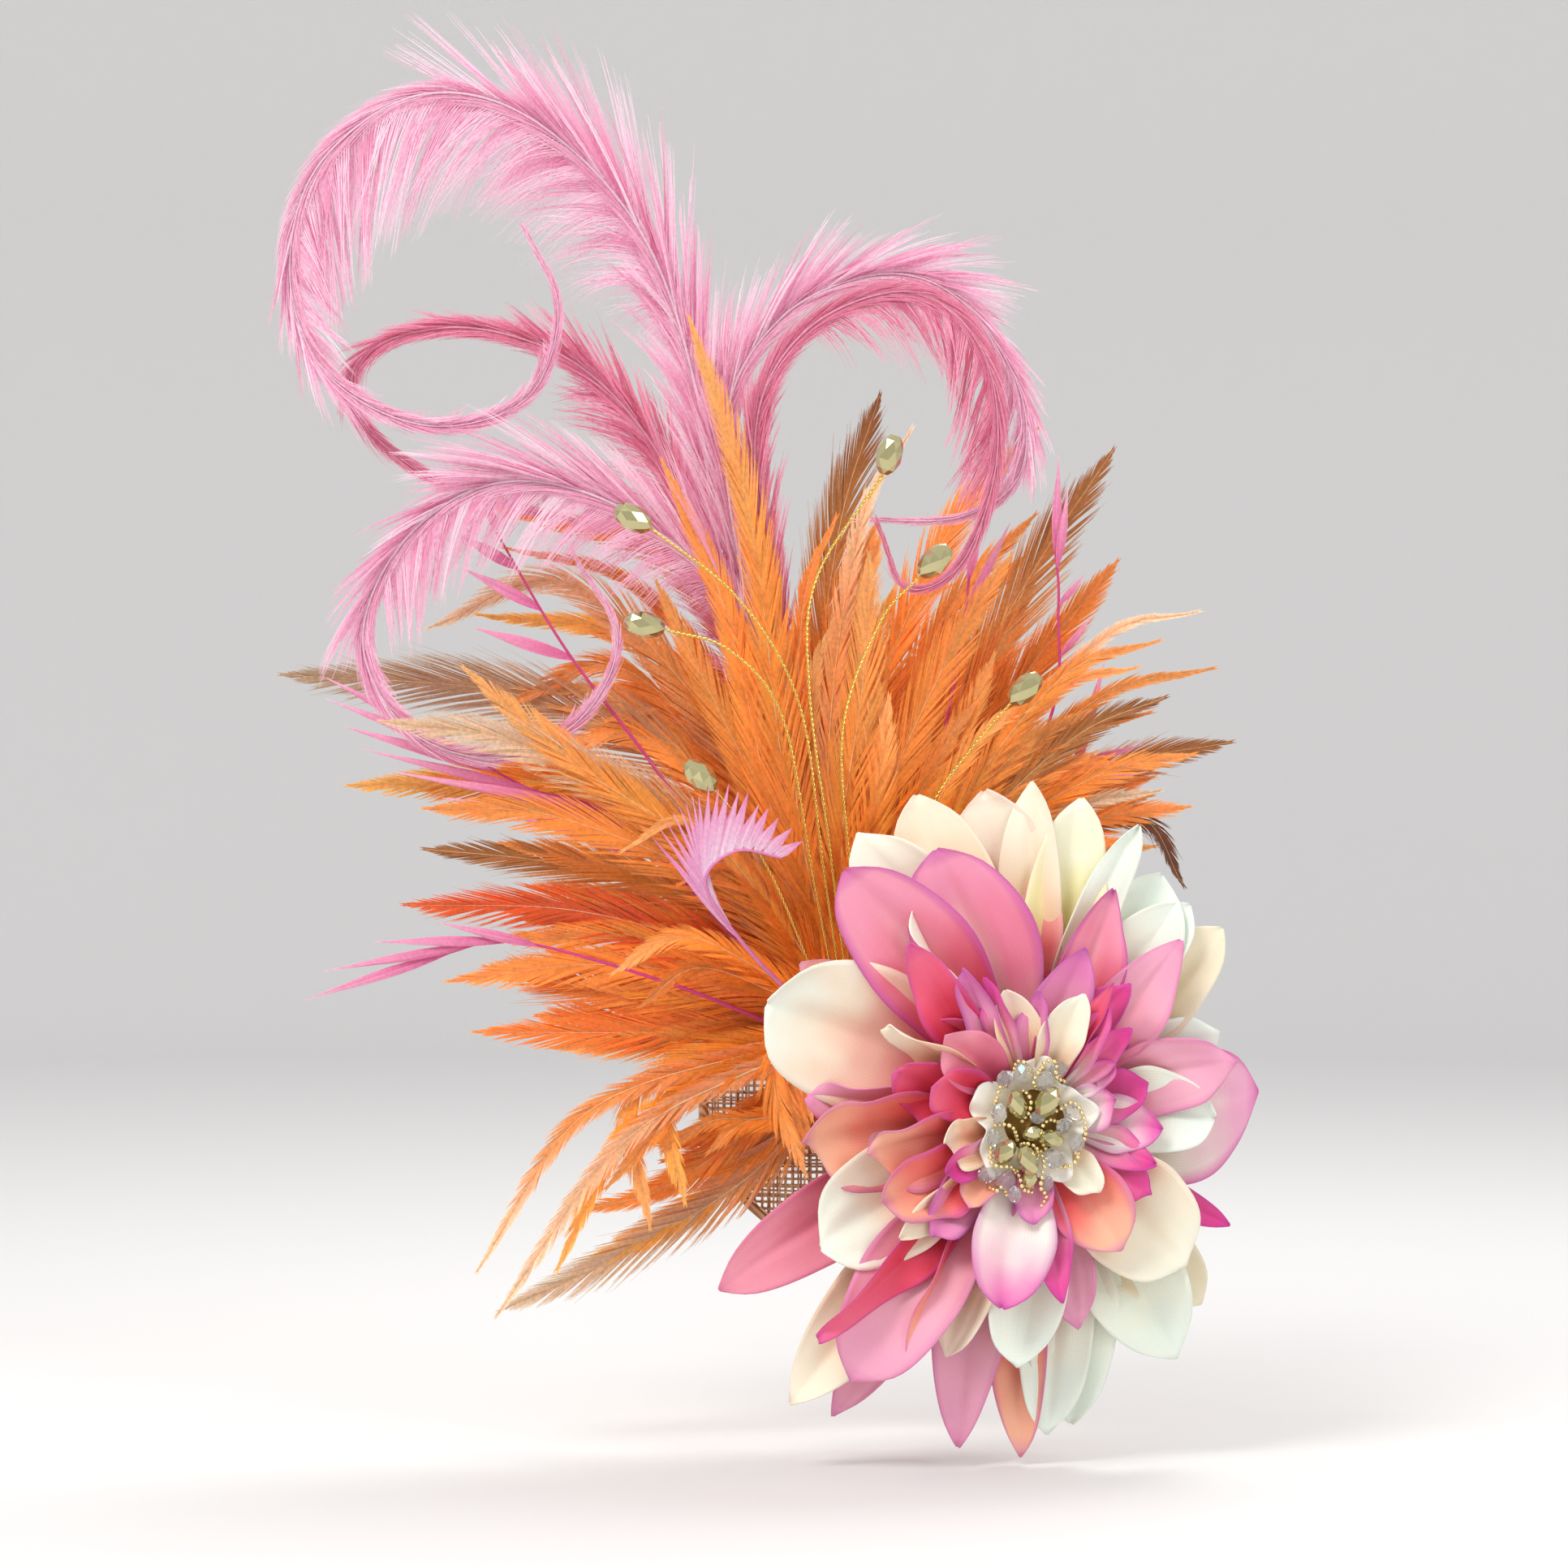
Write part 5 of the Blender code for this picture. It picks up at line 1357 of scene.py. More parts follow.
INNER_PETALS = (
    Petal((18, 43), 9, 1, 14, 0.5, 2, 4, 1.8, "lilac"),
    Petal((25, 40), 8, 1, 24, 0.6, 2, 3, 1.4, "magenta"),
    Petal((31, 36), 12, 1, 0, 0.4, 4, 2, 0.6, "cream_peach"),
    Petal((41, 36), 9, 1, 18, 0.6, 3, 3, 1.2, "lilac"),
    Petal((47, 30), 8, 1, -18, 0.6, 2, 3, 1.2, "pink"),
    Petal((54, 35), 11, 3, 0, 0.5, 3, 2, 0.8, "cream"),
    Petal((63, 38), 7, 1, 28, 0.7, 2, 3, 1.0, "deep"),
    Petal((62, 31), 9, 1, 20, 0.6, 2, 3, 1.2, "magenta"),
    Petal((68, 25), 9, 1, 0, 0.6, 3, 3, 1.0, "magenta"),
    Petal((64, 14), 8, 1, 0, 0.5, 2, 2, 1.2, "white_magenta"),
    Petal((13, 23), 15, 2, 10, 0.3, 4, 4, 1.2, "rose"),
    Petal((9, 8), 15, 2, 24, 0.3, 4, 5, 1.6, "deep"),
    Petal((13, -9), 13, 2, 10, 0.2, 5, 6, 2.0, "cream_peach"),
    Petal((13, -17), 9, 2, 20, 0.2, 4, 7, 1.6, "magenta"),
    Petal((20, -28), 10, 1, -20, 0.4, 3, 3, 1.4, "coral"),
    Petal((40, -33), 10, 1, 0, 0.4, 3, 2, 1.2, "lilac"),
    Petal((59, -24), 10, 1, 0, 0.4, 3, 1, 1.2, "cream"),
    Petal((64, 3), 12, 1, 0, 0.4, 3, 1, 1.0, "white_magenta"),
)
# Each ring says how much wider, and how much more cupped and ruffled, its cloth is than its solid
PetalRing = namedtuple("PetalRing", "node petals slope spread cup ruffle rows columns")
RINGS = (
    PetalRing("petals_back", BACK_PETALS, 0.02, 1.12, 1.5, 1.3, 16, 11),
    PetalRing("petals_outer", OUTER_PETALS, 0.16, 1.18, 1.7, 1.5, 16, 11),
    PetalRing("petals_middle", MIDDLE_PETALS, 0.34, 1.3, 1.6, 1.4, 12, 9),
    PetalRing("petals_inner", INNER_PETALS, 0.4, 1.25, 1.5, 1.3, 12, 9),
)
print(sum(len(ring.petals) for ring in RINGS), "petals")

# %% [markdown]
# A petal runs from the hub to its tip. First its outline is laid flat, then it arches as its solid
# does, and then what an iron and damp fingers do to cloth is added: a creased middle, raised and
# waving edges, faint veins, a soft fold and a turned tip. Random values are drawn once a petal, so
# no two bend alike.

# %% Bending the petals
HUB = Vector((39, -3))
HUB_RADIUS = 11
HUB_DEPTH = 6
HUB_PITCH = HUB_DEPTH + GAP
FIRST_HUB_Y = -44
FLOWER_TILT = 0.12
LEVEL_STEP = 0.05
CLOTH_THICKNESS = 0.35
CREASE = 0.16
VEIN = 0.35
FOLD = 0.1


class ClothPatch:
    """Points, faces, colours (dye and painted root shade) and cloth coordinates of many small pieces of
    cloth.
    """

    def __init__(self):
        self.points, self.faces, self.dyes, self.uvs = [], [], [], []

    def add_grid(self, rows, columns, sample, closed=False):
        """Adds a grid whose sample gives each point's place, colour (dye and painted shade) and cloth
        coordinate.
        """
        start = len(self.points)
        for i in range(rows):
            for j in range(columns):
                point, dye, uv = sample(i, j)
                self.points.append(point)
                self.dyes.append(dye)
                self.uvs.append(uv)
        for i in range(rows - 1):
            for j in range(columns if closed else columns - 1):
                a, b = start + i * columns + j, start + i * columns + (j + 1) % columns
                self.faces.append((a, b, b + columns, a + columns))

    def piece(self, name, thickness=CLOTH_THICKNESS):
        mesh = bpy.data.meshes.new(name)
        mesh.from_pydata(self.points, [], self.faces)
        # Point colours: dye, and on the pale petals painted root shade.
        dye_and_root_shade_layer = mesh.attributes.new("dye", "FLOAT_COLOR", "POINT")
        dye_and_root_shade_layer.data.foreach_set("color", [c for colour in self.dyes for c in colour])
        layer = mesh.uv_layers.new(name="cloth")
        for loop in mesh.loops:
            layer.data[loop.index].uv = self.uvs[loop.vertex_index]
        for face in mesh.polygons:
            face.use_smooth = True
        mesh.materials.append(SILK)
        piece = bpy.data.objects.new(name, mesh)
        scene.collection.objects.link(piece)
        rounding = piece.modifiers.new("rounding", "SUBSURF")
        rounding.levels = rounding.render_levels = 1
        wall = piece.modifiers.new("cloth", "SOLIDIFY")
        wall.thickness = thickness * MM
        wall.offset = 0
        print(name, "has", len(mesh.polygons), "grid faces")
        return piece


def petal_fullness(u, point):
    """Half width of a petal at u, as a share of its widest."""
    spread = 0.34 + 0.66 * smooth_step(0.0, 0.6, u)
    shoulder = 0.55
    if u <= shoulder:
        return spread
    past = (u - shoulder) / (1 - shoulder)
    round_end = (1 - past**2.8) ** 0.55
    sharp_end = 1 - past**1.5
    return spread * max(0.05, round_end + (sharp_end - round_end) * 0.8 * point)


def add_petal(patch, row, ring, slope, hub_y, rng):
    """One petal: u runs from its root to its tip, v from -1 to 1 across it."""
    tip = Vector(row.tip)
    outward = (tip - HUB).normalized()
    start = HUB + outward * (HUB_RADIUS - 4)
    length = (tip - start).length
    start_y = hub_y - HUB_DEPTH / 3
    tip_y = start_y - slope * length + FLOWER_TILT * (tip.x - HUB.x)
    sideways = Vector((outward.y, -outward.x))
    phases = [rng.uniform(0, 2 * math.pi) for _ in range(3)]
    waves = rng.uniform(1.6, 2.8)
    lean = rng.uniform(-0.06, 0.06) * length
    twist = row.roll + rng.uniform(-9, 9)
    tint = rng.uniform(-0.08, 0.08)
    notch = rng.uniform(-1, 1)
    dye = PETAL_DYES_AND_ROOT_SHADE[row.dye]

    def sample(i, j):
        u = i / (ring.rows - 1)
        v = 2 * j / (ring.columns - 1) - 1
        half = row.width * ring.spread / 2 * petal_fullness(u, row.point)
        roll = math.radians(twist) * smooth_step(0, 0.7, u)
        bend = math.sin(math.pi * u)
        spine = start + (tip - start) * u + sideways * lean * bend
        spine_y = start_y + (tip_y - start_y) * u - row.arch * bend
        if u > 0.7:
            turned_up = ((u - 0.7) / 0.3) ** 2
            spine_y -= row.curl * turned_up * 0.5
            spine -= outward * abs(row.curl) * turned_up * 0.12
        edge = abs(v) ** 1.6
        phase = phases[0] if v < 0 else phases[1]
        wave = row.ruffle * ring.ruffle * edge * math.sin(phase + waves * 2 * math.pi * u)
        wave = wave * smooth_step(0.25, 0.7, u)
        crease = CREASE * half * math.exp(-((v / 0.17) ** 2))
        crease = crease * smooth_step(0, 0.3, u) * (1 - smooth_step(0.8, 1, u))
        vein = VEIN * math.sin(5 * math.pi * abs(v) + phases[2]) * bend
        fold = FOLD * half * noise.noise(Vector((3 * u, 2.2 * v, phases[2] + hub_y)) * 1.3)
        fold = fold * smooth_step(0.1, 0.5, u)
        lift = row.cup * ring.cup * edge * bend * 0.8 + wave - crease + vein + fold
        along = 0.5 * wave * edge + 0.05 * half * notch * math.sin(3 * v + phases[0]) * u * u
        x = v * half * math.cos(roll) - lift * math.sin(roll)
        depth = v * half * math.sin(roll) + lift * math.cos(roll)
        place = spine + sideways * x + outward * along
        wander = tint + 0.16 * noise.noise(Vector((place.x * 0.13, place.y * 0.13, hub_y)))
        uv = (v * row.width / 2 * MM, u * length * MM)
        return at(place.x, spine_y - depth, place.y), petal_colour(dye, u, v, wander), uv

    patch.add_grid(ring.rows, ring.columns, sample)


rng = random.Random(51)
for index, ring in enumerate(RINGS):
    patch = ClothPatch()
    for place, row in enumerate(ring.petals):
        level = (place % 2) * LEVEL_STEP + rng.uniform(-0.01, 0.01)
        add_petal(patch, row, ring, ring.slope + level, FIRST_HUB_Y - HUB_PITCH * index, rng)
    settle(patch.piece(ring.node.replace("petals", "silk_petals")), "petal_silk", ring.node)

# %% [markdown]
# The flower stands on a calyx, a short green-white stem end covered in the same silk. Round its
# heart lies a ruffled cream bract, one ring of cloth gathered at its inner edge.

# %% Calyx and bract
CALYX_FOOT = (29, -4)
CALYX_FOOT_RADIUS = 7
CALYX_TOP_RADIUS = 9
HEART_RADIUS = 13
HEART_BACK_Y = FIRST_HUB_Y - HUB_PITCH * len(RINGS)


def add_calyx(patch):
    """A stem that swells in its middle and leans from the base to the hub."""
    sides, steps = 40, 12

    def sample(i, j):
        share = i / steps
        y = -BASE_DEPTH - GAP + (FIRST_HUB_Y + HUB_DEPTH / 2 + BASE_DEPTH + GAP) * share
        swell = 1 + 0.18 * math.sin(math.pi * share) + 0.05 * math.sin(9 * share)
        radius = (CALYX_FOOT_RADIUS + (CALYX_TOP_RADIUS - CALYX_FOOT_RADIUS) * share) * swell
        x = CALYX_FOOT[0] + (HUB.x - CALYX_FOOT[0]) * share
        z = CALYX_FOOT[1] + (HUB.y - CALYX_FOOT[1]) * share
        a = 2 * math.pi * j / sides
        uv = (a * radius * MM, share * 30 * MM)
        return at(x + radius * math.cos(a), y, z + radius * math.sin(a)), linear("#DDE0BC"), uv

    patch.add_grid(steps + 1, sides, sample, closed=True)


def add_bract(patch):
    """A gathered ring: its edge is longer than its inner line, so it waves."""
    sides, steps = 96, 6

    def sample(i, j):
        share = i / steps
        a = 2 * math.pi * j / sides
        lobes = 1 + 0.16 * share * math.sin(5 * a + 0.6) + 0.05 * share * math.sin(11 * a)
        radius = (HEART_RADIUS - 5 + 9 * share) * lobes
        wave = 1.7 * share * math.sin(9 * a) + 0.7 * share * math.sin(17 * a + 1)
        x = HUB.x + radius * math.cos(a)
        y = HEART_BACK_Y - 2 - 4.2 * share + wave + FLOWER_TILT * (x - HUB.x)
        colour = mixed(linear("#F2DDBE"), linear("#F8F6EC"), share)
        return at(x, y, HUB.y + radius * math.sin(a)), colour, (a * radius * MM, radius * MM)

    patch.add_grid(steps + 1, sides, sample, closed=True)


for name, add, node in (("silk_calyx", add_calyx, "petals_back"), ("silk_bract", add_bract, "petals_inner")):
    patch = ClothPatch()
    add(patch)
    settle(patch.piece(name), "petal_silk", node)

# %% [markdown]
# The heart is a beaded brooch: smoky faceted beads in the middle, clear crystals round them, and
# loops of tiny gold beads threaded between. The gold beads are one tiny ball repeated along each
# loop, a little larger and smaller at random. One function makes such a tree for any small shape
# and any path, so the stitches of the rim use it too.

# %% Beads on a path
def repeat_tree(name, inputs, shape, size):
    """A tree that sets a small shape at every pitch along a path. shape(tree, start) makes it."""
    tree, start = new_tree(name, (*inputs, ("Material", "Material", None)))
    line = made(tree, "GeometryNodeMeshToCurve", {"Mesh": start["Geometry"]})
    steps = {"Curve": line, "Length": start["Pitch"]}
    places = add_node(tree, "GeometryNodeCurveToPoints", steps, mode="LENGTH").outputs
    values = {"Points": places["Points"], "Instance": shape(tree, start), "Rotation": places["Rotation"]}
    if size:
        lowest, highest, seed = size
        limits = {"Min": lowest, "Max": highest, "Seed": seed}
        drawn = add_node(tree, "FunctionNodeRandomValue", limits, data_type="FLOAT")
        values["Scale"] = drawn.outputs["Value"]
    finish_tree(tree, made(tree, "GeometryNodeInstanceOnPoints", values), start["Material"])
    return tree


def ball(tree, start):
    return made(tree, "GeometryNodeMeshIcoSphere", {"Radius": start["Bead radius"], "Subdivisions": 2})


BEAD_STRING_TREE = repeat_tree(
    "beads on a path", (("Pitch", "Float", 0.0016), ("Bead radius", "Float", 0.0007)), ball, (0.85, 1.1, 7)
)
print("bead string tree nodes:", len(BEAD_STRING_TREE.nodes))

# %% [markdown]
# The stones are cut glass, drilled and wired down at all angles, each a short faceted barrel like
# the spray beads. They are lofted by the same loop and stay flat shaded, so every facet keeps its
# own reflection. The seed loops rise over them in low arches.

# %% The stones of the heart
Stone = namedtuple("Stone", "x z length width turn rise")
SMOKY_STONES = (
    Stone(34.6, 2.5, 8.5, 5.6, 105, 6), Stone(43.3, 3, 10, 6.8, 58, 6.5), Stone(44.6, -7.5, 7.5, 5, -12, 6),
    Stone(31, -11.4, 8, 6, 55, 5.5), Stone(37.7, -14, 9.5, 6.2, 112, 6.5), Stone(38.4, -19.5, 6, 4.6, 80, 5),
    Stone(39, -6, 5.5, 4.4, 20, 6),
)
CLEAR_STONES = (
    Stone(36.6, 11.5, 6.4, 6, 100, 4.5), Stone(31.2, 9.8, 5.6, 5, 40, 4), Stone(42.7, 9.4, 5.6, 5, 60, 4.5),
    Stone(29.3, -0.3, 6, 4.8, 90, 4.5), Stone(27.9, -7.5, 5.2, 4.6, 110, 4), Stone(25.9, -18.1, 5.6, 5, 0, 4),
    Stone(31, -19.8, 6.4, 6, 15, 4.5), Stone(33.8, -23.9, 5, 4.2, 100, 4),
    Stone(45.6, -13.7, 6, 5.6, 30, 4.5), Stone(52.2, -9.2, 5.6, 4.8, 80, 4),
    Stone(51.6, -0.3, 6, 4.4, -30, 4), Stone(46.8, 12.6, 5.4, 4.4, 10, 4), Stone(43.3, -20.6, 5, 4, 85, 4),
    Stone(48.5, -4, 5, 4.4, 45, 4), Stone(40.5, -1.4, 4.4, 4, 0, 5.5),
)
SEED_LOOPS = (
    ((33.5, 11.5), (34.6, 15), (37, 14.4), (37.6, 11.5)),
    ((41.5, 11.5), (43, 15), (46, 14.5), (46, 10.5), (48.5, 9)),
    ((31.5, 7.6), (29.4, 7.4), (28.6, 4.4), (28.2, 2.6)),
    ((36.5, 6.2), (37.8, 5.2), (38.6, 3), (38, 0), (36.2, -2.6)),
    ((43.4, -0.8), (46.6, 0.6), (51, 3), (54.2, -1.6), (54.6, -7), (52.6, -12.2)),
    ((46.6, -3), (44, -2.2), (42, -4), (41.4, -7.4), (43, -10.6)),
    ((47.6, -16), (50, -15.6), (52.4, -13.2), (51, -11)),
    ((41.6, -11.4), (42.6, -15), (42, -18), (41.5, -22), (43.2, -24.4), (41.9, -27.4)),
    ((34.8, -8), (33.6, -4.6), (31.4, -3.4), (28.4, -3.8)),
    ((27, -10.4), (26.8, -14), (29, -15.6), (32.8, -15.8), (34.2, -17.6)),
    ((26.8, -22), (28.6, -22.6), (30.4, -21.4), (31.6, -24)),
    ((36, -9.4), (37.6, -9), (40, -10), (40.8, -12.6)),
    ((34.8, -17.2), (35.6, -20), (36.4, -22.4), (39, -23.4)),
    ((40.4, 6.8), (39.4, 9), (40.6, 11.6), (42, 12.8)),
)

# Lead crystal is clear, and bends light more than plain glass does, which makes it sparkle. Its
# polished flats carry a thin film of metal oxide, 330 nm, which tints each reflection a little.
CRYSTAL, _, _ = new_material(
    "cut_lead_crystal",
    {
        "Base Color": "#FFFDFC", "Transmission Weight": 0.85, "Roughness": 0.02, "IOR": 1.6,
        "Thin Film Thickness": 330.0, "Thin Film IOR": 1.5,
    },
)


def stone_place(x, z, rise):
    return at(x, HEART_BACK_Y - 3 - rise + FLOWER_TILT * (x - HUB.x), z)


def stones_mesh(rows, sides):
    mesh = bmesh.new()
    for row in rows:
        turn = math.radians(row.turn)
        axis = Vector((math.cos(turn), -0.25, math.sin(turn))).normalized()
        long, wide = row.length / 2, row.width / 2
        profile = (
            (-long, wide * 0.35), (-long * 0.7, wide * 0.75), (-long * 0.25, wide),
            (long * 0.25, wide), (long * 0.7, wide * 0.75), (long, wide * 0.35),
        )
        faceted(mesh, stone_place(row.x, row.z, row.rise), axis, profile, sides)
    return mesh


def loop_route(corners):
    """A loop that rises off the setting between its two ends."""
    heights = [3.0 + 3.2 * math.sin(math.pi * i / (len(corners) - 1)) for i in range(len(corners))]
    return smooth_route([stone_place(x, z, rise) for (x, z), rise in zip(corners, heights)], 24)


settle(new_piece("smoky_stones", stones_mesh(SMOKY_STONES, 7), SMOKY), "crystal", "crystal_cluster")
settle(new_piece("clear_crystals", stones_mesh(CLEAR_STONES, 6), CRYSTAL), "crystal", "crystal_cluster")
# Seed beads are glass lined with gold: paler and softer than the wire.
SEED_GOLD, _, _ = new_material(
    "gold_lined_seed_glass", {"Base Color": "#F3DFA0", "Metallic": 0.9, "Roughness": 0.14, "Coat Weight": 0.5}
)
loops = path_mesh("seed_loops", [loop_route(corners) for corners in SEED_LOOPS])
seeds = realised("gold_seed_loops", loops, BEAD_STRING_TREE, {"Material": SEED_GOLD})
settle(seeds, "gold_wire", "crystal_cluster")

# The stones are sewn to a small gilt disc, which shows between them as a warm dark gold.
SETTING, _, _ = new_material(
    "gilt_filigree_disc", {"Base Color": "#6E5228", "Metallic": 1.0, "Roughness": 0.35}
)


def loft(mesh, loops, wrap=False):
    """Joins rings of points by four-sided faces. Wrap joins the last ring to the first."""
    rings = [[mesh.verts.new(point) for point in loop] for loop in loops]
    for lower, upper in zip(rings, rings[1:] + rings[:1] * wrap):
        for i in range(len(lower)):
            j = (i + 1) % len(lower)
            mesh.faces.new((lower[i], lower[j], upper[j], upper[i]))
    return rings


def turned(name, centre_x, centre_z, profile, sides, material):
    """A round piece: rings of (y, radius) about an axis along Y, closed at both ends."""
    mesh = bmesh.new()
    right, up = Vector((1, 0, 0)), Vector((0, 0, 1))
    rings = loft(
        mesh, [ring_points(at(centre_x, y, centre_z), right, up, radius * MM, sides) for y, radius in profile]
    )
    mesh.faces.new(rings[0])
    mesh.faces.new(rings[-1])
    return new_piece(name, mesh, material, smooth=True)


disc_profile = ((0, 4), (-0.2, 9.6), (-1, 10), (-2.6, 9.4), (-3.6, 7), (-4.4, 3))
disc = [(HEART_BACK_Y + y, radius) for y, radius in disc_profile]
settle(turned("brooch_disc", HUB.x, HUB.y, disc, 40, SETTING), "crystal", "crystal_cluster")

# %% [markdown]
# The feathers are glued between two round felt pads. They hardly show, but they hold every quill.

# %% Felt pads
def mottle(tree, scale):
    """Soft noise; its cells measure one metre over the scale."""
    values = {"Vector": object_place(tree), "Scale": scale, "Detail": 3.0}
    return add_node(tree, "ShaderNodeTexNoise", values).outputs["Fac"]


# Felt is matt and fuzzy: no shine but a pale bloom at grazing angles, and a mottle of its fibres.
FIBRE_SCALE = 1500  # cells of 0.7 mm, the clumps of a pressed fibre
FELT, felt_tree, felt_shader = new_material("pressed_wool_felt", {"Roughness": 0.95, "Sheen Weight": 0.4})
paint(felt_tree, felt_shader, mottle(felt_tree, FIBRE_SCALE), "#B8591C", "#E08A3A")
PADS = (("felt_back", "hackles_back", BACK_PAD_Y), ("felt_front", "hackles_front", FRONT_PAD_Y))
for name, node, pad_y in PADS:
    edge = 0.5
    profile = [
        (pad_y, PAD_RADIUS - edge), (pad_y - edge, PAD_RADIUS), (pad_y - PAD_DEPTH + edge, PAD_RADIUS),
        (pad_y - PAD_DEPTH, PAD_RADIUS - edge),
    ]
    settle(turned(name, *PAD_CENTRE, profile, 40, FELT), "orange_feather", node)

# %% [markdown]
# Sinamay is a cloth of flat abaca fibres, open enough to see through, stiffened and blocked to a
# shallow oval dish. A tree lays one strand for each pitch across the oval, trims it to the edge,
# waves it over and under the strands that cross it, and presses it into the dish. It runs once
# for the warp and once, with the axes swapped, for the weft.

# %% The woven dish
BASE_HALF_WIDTH = 60
BASE_HALF_HEIGHT = 52
RIM_RADIUS = 1.5
RIM_STEPS = 160
RIM_SIDES = 10


def weave_tree():
    tree, start = new_tree(
        "woven dish",
        (
            ("Half width", "Float", BASE_HALF_WIDTH * MM),
            ("Half height", "Float", BASE_HALF_HEIGHT * MM),
            ("Depth", "Float", BASE_DEPTH * MM),
            ("Front gap", "Float", 0.0004),
            ("Pitch", "Float", 0.0019),
            ("Strand radius", "Float", 0.0004),
            ("Material", "Material", None),
        ),
    )
    strands = add_node(tree, "GeometryNodeJoinGeometry")
    step_length = math_node(tree, "DIVIDE", start["Pitch"], 2.0)
    for warp in (True, False):
        across = start["Half width"] if warp else start["Half height"]
        along = start["Half height"] if warp else start["Half width"]
        first = math_node(tree, "MULTIPLY", across, -0.99)
        gaps = math_node(tree, "DIVIDE", math_node(tree, "MULTIPLY", across, 1.98), start["Pitch"])
        count = math_node(tree, "ADD", gaps, 1.0)
        side = 0 if warp else 2
        origin = made(tree, "ShaderNodeCombineXYZ", {side: first})
        offset = made(tree, "ShaderNodeCombineXYZ", {side: start["Pitch"]})
        rows = made(
            tree, "GeometryNodeMeshLine", {"Count": count, "Start Location": origin, "Offset": offset}
        )
        place = place_outputs(tree)
        share = math_node(tree, "DIVIDE", place["X" if warp else "Z"], across)
        square = math_node(tree, "MULTIPLY", share, share)
        chord = math_node(tree, "SQRT", math_node(tree, "SUBTRACT", 1.0, square))
        reach = math_node(tree, "MULTIPLY", chord, math_node(tree, "MULTIPLY", along, 0.985))
        far_end = (0, 0, 1) if warp else (1, 0, 0)
        near_end = tuple(-value for value in far_end)
        straight = made(tree, "GeometryNodeCurvePrimitiveLine", {"Start": near_end, "End": far_end})
        stretch = made(tree, "ShaderNodeCombineXYZ", {0: reach, 1: 1.0, 2: reach})
        laid = made(
            tree, "GeometryNodeInstanceOnPoints", {"Points": rows, "Instance": straight, "Scale": stretch}
        )
        real = made(tree, "GeometryNodeRealizeInstances", {"Geometry": laid})
        steps = {"Curve": real, "Length": step_length}
        fine = made(tree, "GeometryNodeResampleCurve", steps, mode="LENGTH")
        waves = []
        for axis in ("X", "Z"):
            crossings = math_node(tree, "DIVIDE", place[axis], start["Pitch"])
            waves.append(math_node(tree, "COSINE", math_node(tree, "MULTIPLY", crossings, math.pi)))
        weave = math_node(tree, "MULTIPLY", math_node(tree, "MULTIPLY", *waves), start["Strand radius"])
        radial_x = math_node(tree, "DIVIDE", place["X"], start["Half width"])
        radial_z = math_node(tree, "DIVIDE", place["Z"], start["Half height"])
        squares = [math_node(tree, "MULTIPLY", value, value) for value in (radial_x, radial_z)]
        radius = math_node(tree, "SQRT", math_node(tree, "ADD", *squares))
        front = math_node(tree, "SUBTRACT", start["Front gap"], start["Depth"])
        slope = {0: radius, 1: 0.66, 2: 1.06, 3: front, 4: 0.0}
        dish = made(tree, "ShaderNodeMapRange", slope, interpolation_type="SMOOTHSTEP")
        depth = math_node(tree, "ADD" if warp else "SUBTRACT", dish, weave)
        lift = made(tree, "ShaderNodeCombineXYZ", {1: depth})
        pressed = made(tree, "GeometryNodeSetPosition", {"Geometry": fine, "Offset": lift})
        tree.links.new(pressed, strands.inputs[0])
    straw = tubes(tree, strands.outputs[0], start["Strand radius"], 3)
    finish_tree(tree, straw, start["Material"])
    return tree


# Abaca straw is a pale plant fibre, dyed tan: dry, a little shiny along the strand.
STRAW, straw_tree, straw_shader = new_material("dyed_abaca_straw", {"Roughness": 0.6})
TONE_SCALE = 220.0  # patches of 4.5 mm, where the dye took more or less
paint(straw_tree, straw_shader, mottle(straw_tree, TONE_SCALE), "#A87248", "#DDB48C")
WEAVE_TREE = weave_tree()
# Gap to the front and pitch in metres. Real sinamay has a strand a millimetre, too many to draw.
LAYERS = (("sinamay_outer_layer", 0.0006, 0.0019), ("sinamay_inner_layer", 0.0015, 0.0024))
for name, gap, pitch in LAYERS:
    nothing = bpy.data.meshes.new(name + "_start")
    values = {"Front gap": gap, "Pitch": pitch, "Material": STRAW}
    settle(realised(name, nothing, WEAVE_TREE, values), "sinamay", "sinamay_base")

# %% [markdown]
# A folded strip of the same sinamay binds the rim over a wire, sewn with a running stitch. The
# stitches repeat along a path, so the function behind the seed beads makes their tree: a short rod at each
# step.

# %% Rim and stitches
def stitch(tree, start):
    values = {"Vertices": 6, "Side Segments": 1, "Radius": start["Radius"], "Depth": start["Length"]}
    return made(tree, "GeometryNodeMeshCylinder", values)


def oval(scale, y, sides):
    angles = (2 * math.pi * i / sides for i in range(sides + 1))
    width, height = BASE_HALF_WIDTH * scale, BASE_HALF_HEIGHT * scale
    return [at(width * math.cos(a), y, height * math.sin(a)) for a in angles]


def bound_rim():
    """A rolled strip round the oval, a little flattened and uneven like a folded bias strip."""
    mesh = bmesh.new()
    loops = []
    for i in range(RIM_STEPS):
        a = 2 * math.pi * i / RIM_STEPS
        centre = at(BASE_HALF_WIDTH * 0.972 * math.cos(a), -1.5, BASE_HALF_HEIGHT * 0.972 * math.sin(a))
        outward = Vector((math.cos(a) / BASE_HALF_WIDTH, 0, math.sin(a) / BASE_HALF_HEIGHT)).normalized()
        size = RIM_RADIUS * (1 + 0.05 * math.sin(23 * a) + 0.04 * math.sin(51 * a))
        loops.append(ring_points(centre, outward, Vector((0, 1, 0)), size * MM, RIM_SIDES))
    loft(mesh, loops, wrap=True)
    return mesh


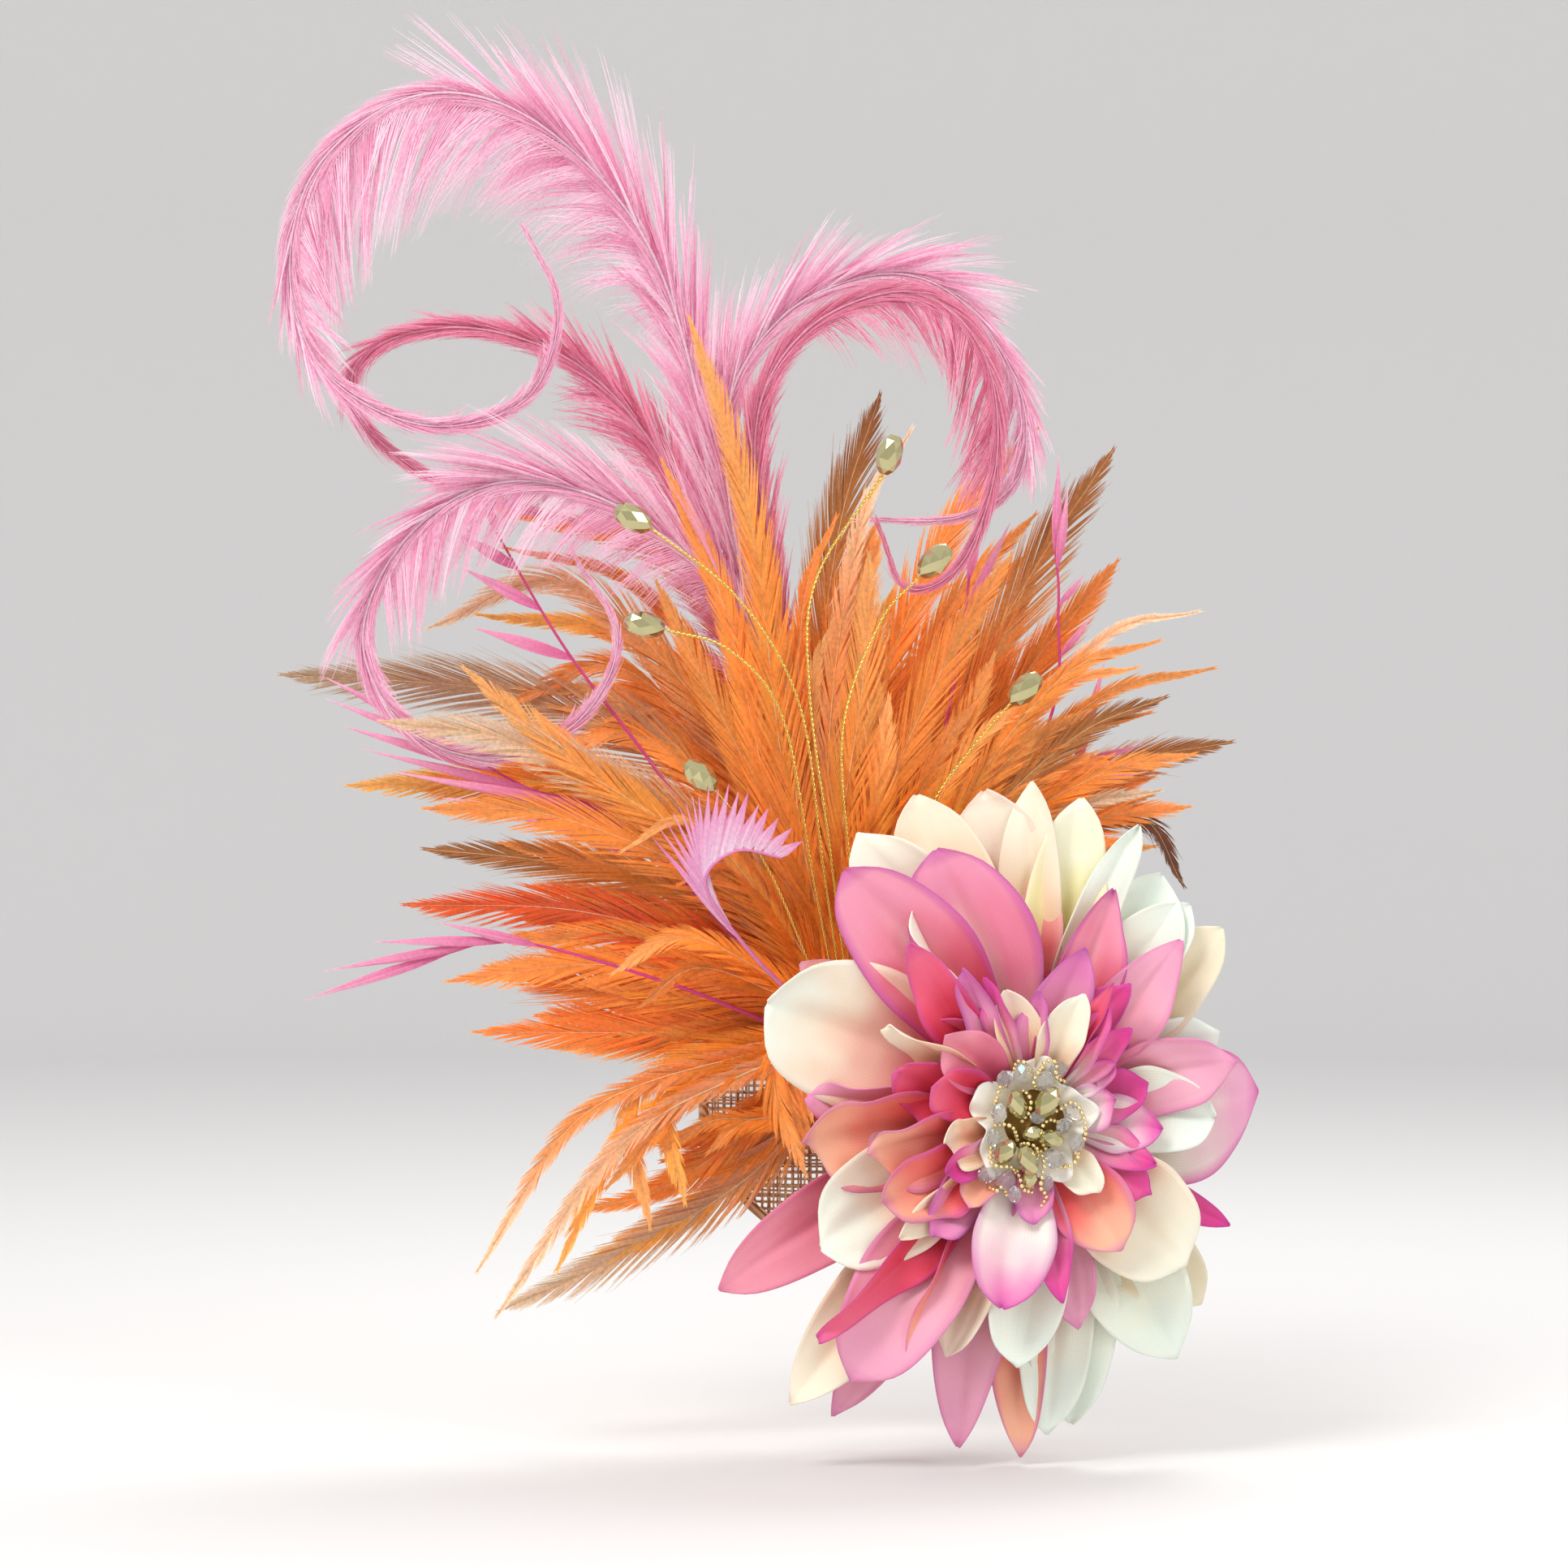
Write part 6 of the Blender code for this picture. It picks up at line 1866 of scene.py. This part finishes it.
# The bias strip is the same straw seen edge on: fine diagonal threads across the roll.
BINDING, binding_tree, binding_shader = new_material("folded_sinamay_binding", {"Roughness": 0.65})
STRAW_PITCH = 1.4  # millimetres from thread to thread; the relief is half a thread deep
bias = {
    "Vector": object_place(binding_tree), "Scale": WAVE_TURN / (STRAW_PITCH * MM),
    "Distortion": 1.0, "Detail": 2.0,
}
bands = add_node(binding_tree, "ShaderNodeTexWave", bias, bands_direction="DIAGONAL").outputs["Fac"]
paint(binding_tree, binding_shader, bands, "#9A6238", "#DDB48C")
ridges = made(binding_tree, "ShaderNodeBump", {"Height": bands, "Strength": 0.5, "Distance": 0.0003})
binding_tree.links.new(ridges, binding_shader.inputs["Normal"])
settle(new_piece("bound_rim", bound_rim(), BINDING, smooth=True), "sinamay", "sinamay_base")

# Polyester thread is smooth and slightly shiny; it is dyed to match the straw.
THREAD, _, _ = new_material("polyester_sewing_thread", {"Base Color": "#E9C9A4", "Roughness": 0.5})
STITCH_TREE = repeat_tree(
    "running stitch",
    (("Pitch", "Float", 0.005), ("Length", "Float", 0.003), ("Radius", "Float", 0.00035)),
    stitch,
    None,
)
seam = path_mesh("rim_seam", [oval(0.945, -3.1, RIM_STEPS)])
settle(realised("rim_stitches", seam, STITCH_TREE, {"Material": THREAD}), "sinamay", "sinamay_base")

# %% [markdown]
# The comb keeps its solid. It is stamped from steel and gilt, so it only needs a metal with the
# faint cloudiness of plating, and no new shape.

# %% Comb metal
# Plating is bright and yellow, and clouded in soft patches, where the steel under it was rougher.
CLOUD_SCALE = 160.0  # patches of 6 mm
PLATED, plated_tree, plated_shader = new_material(
    "gilt_plated_steel", {"Base Color": "#D9B46A", "Metallic": 1.0}
)
haze = made(plated_tree, "ShaderNodeMapRange", {0: mottle(plated_tree, CLOUD_SCALE), 3: 0.2, 4: 0.34})
plated_tree.links.new(haze, plated_shader.inputs["Roughness"])
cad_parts["comb"].data.materials.clear()
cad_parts["comb"].data.materials.append(PLATED)
print("comb is", PLATED.name)
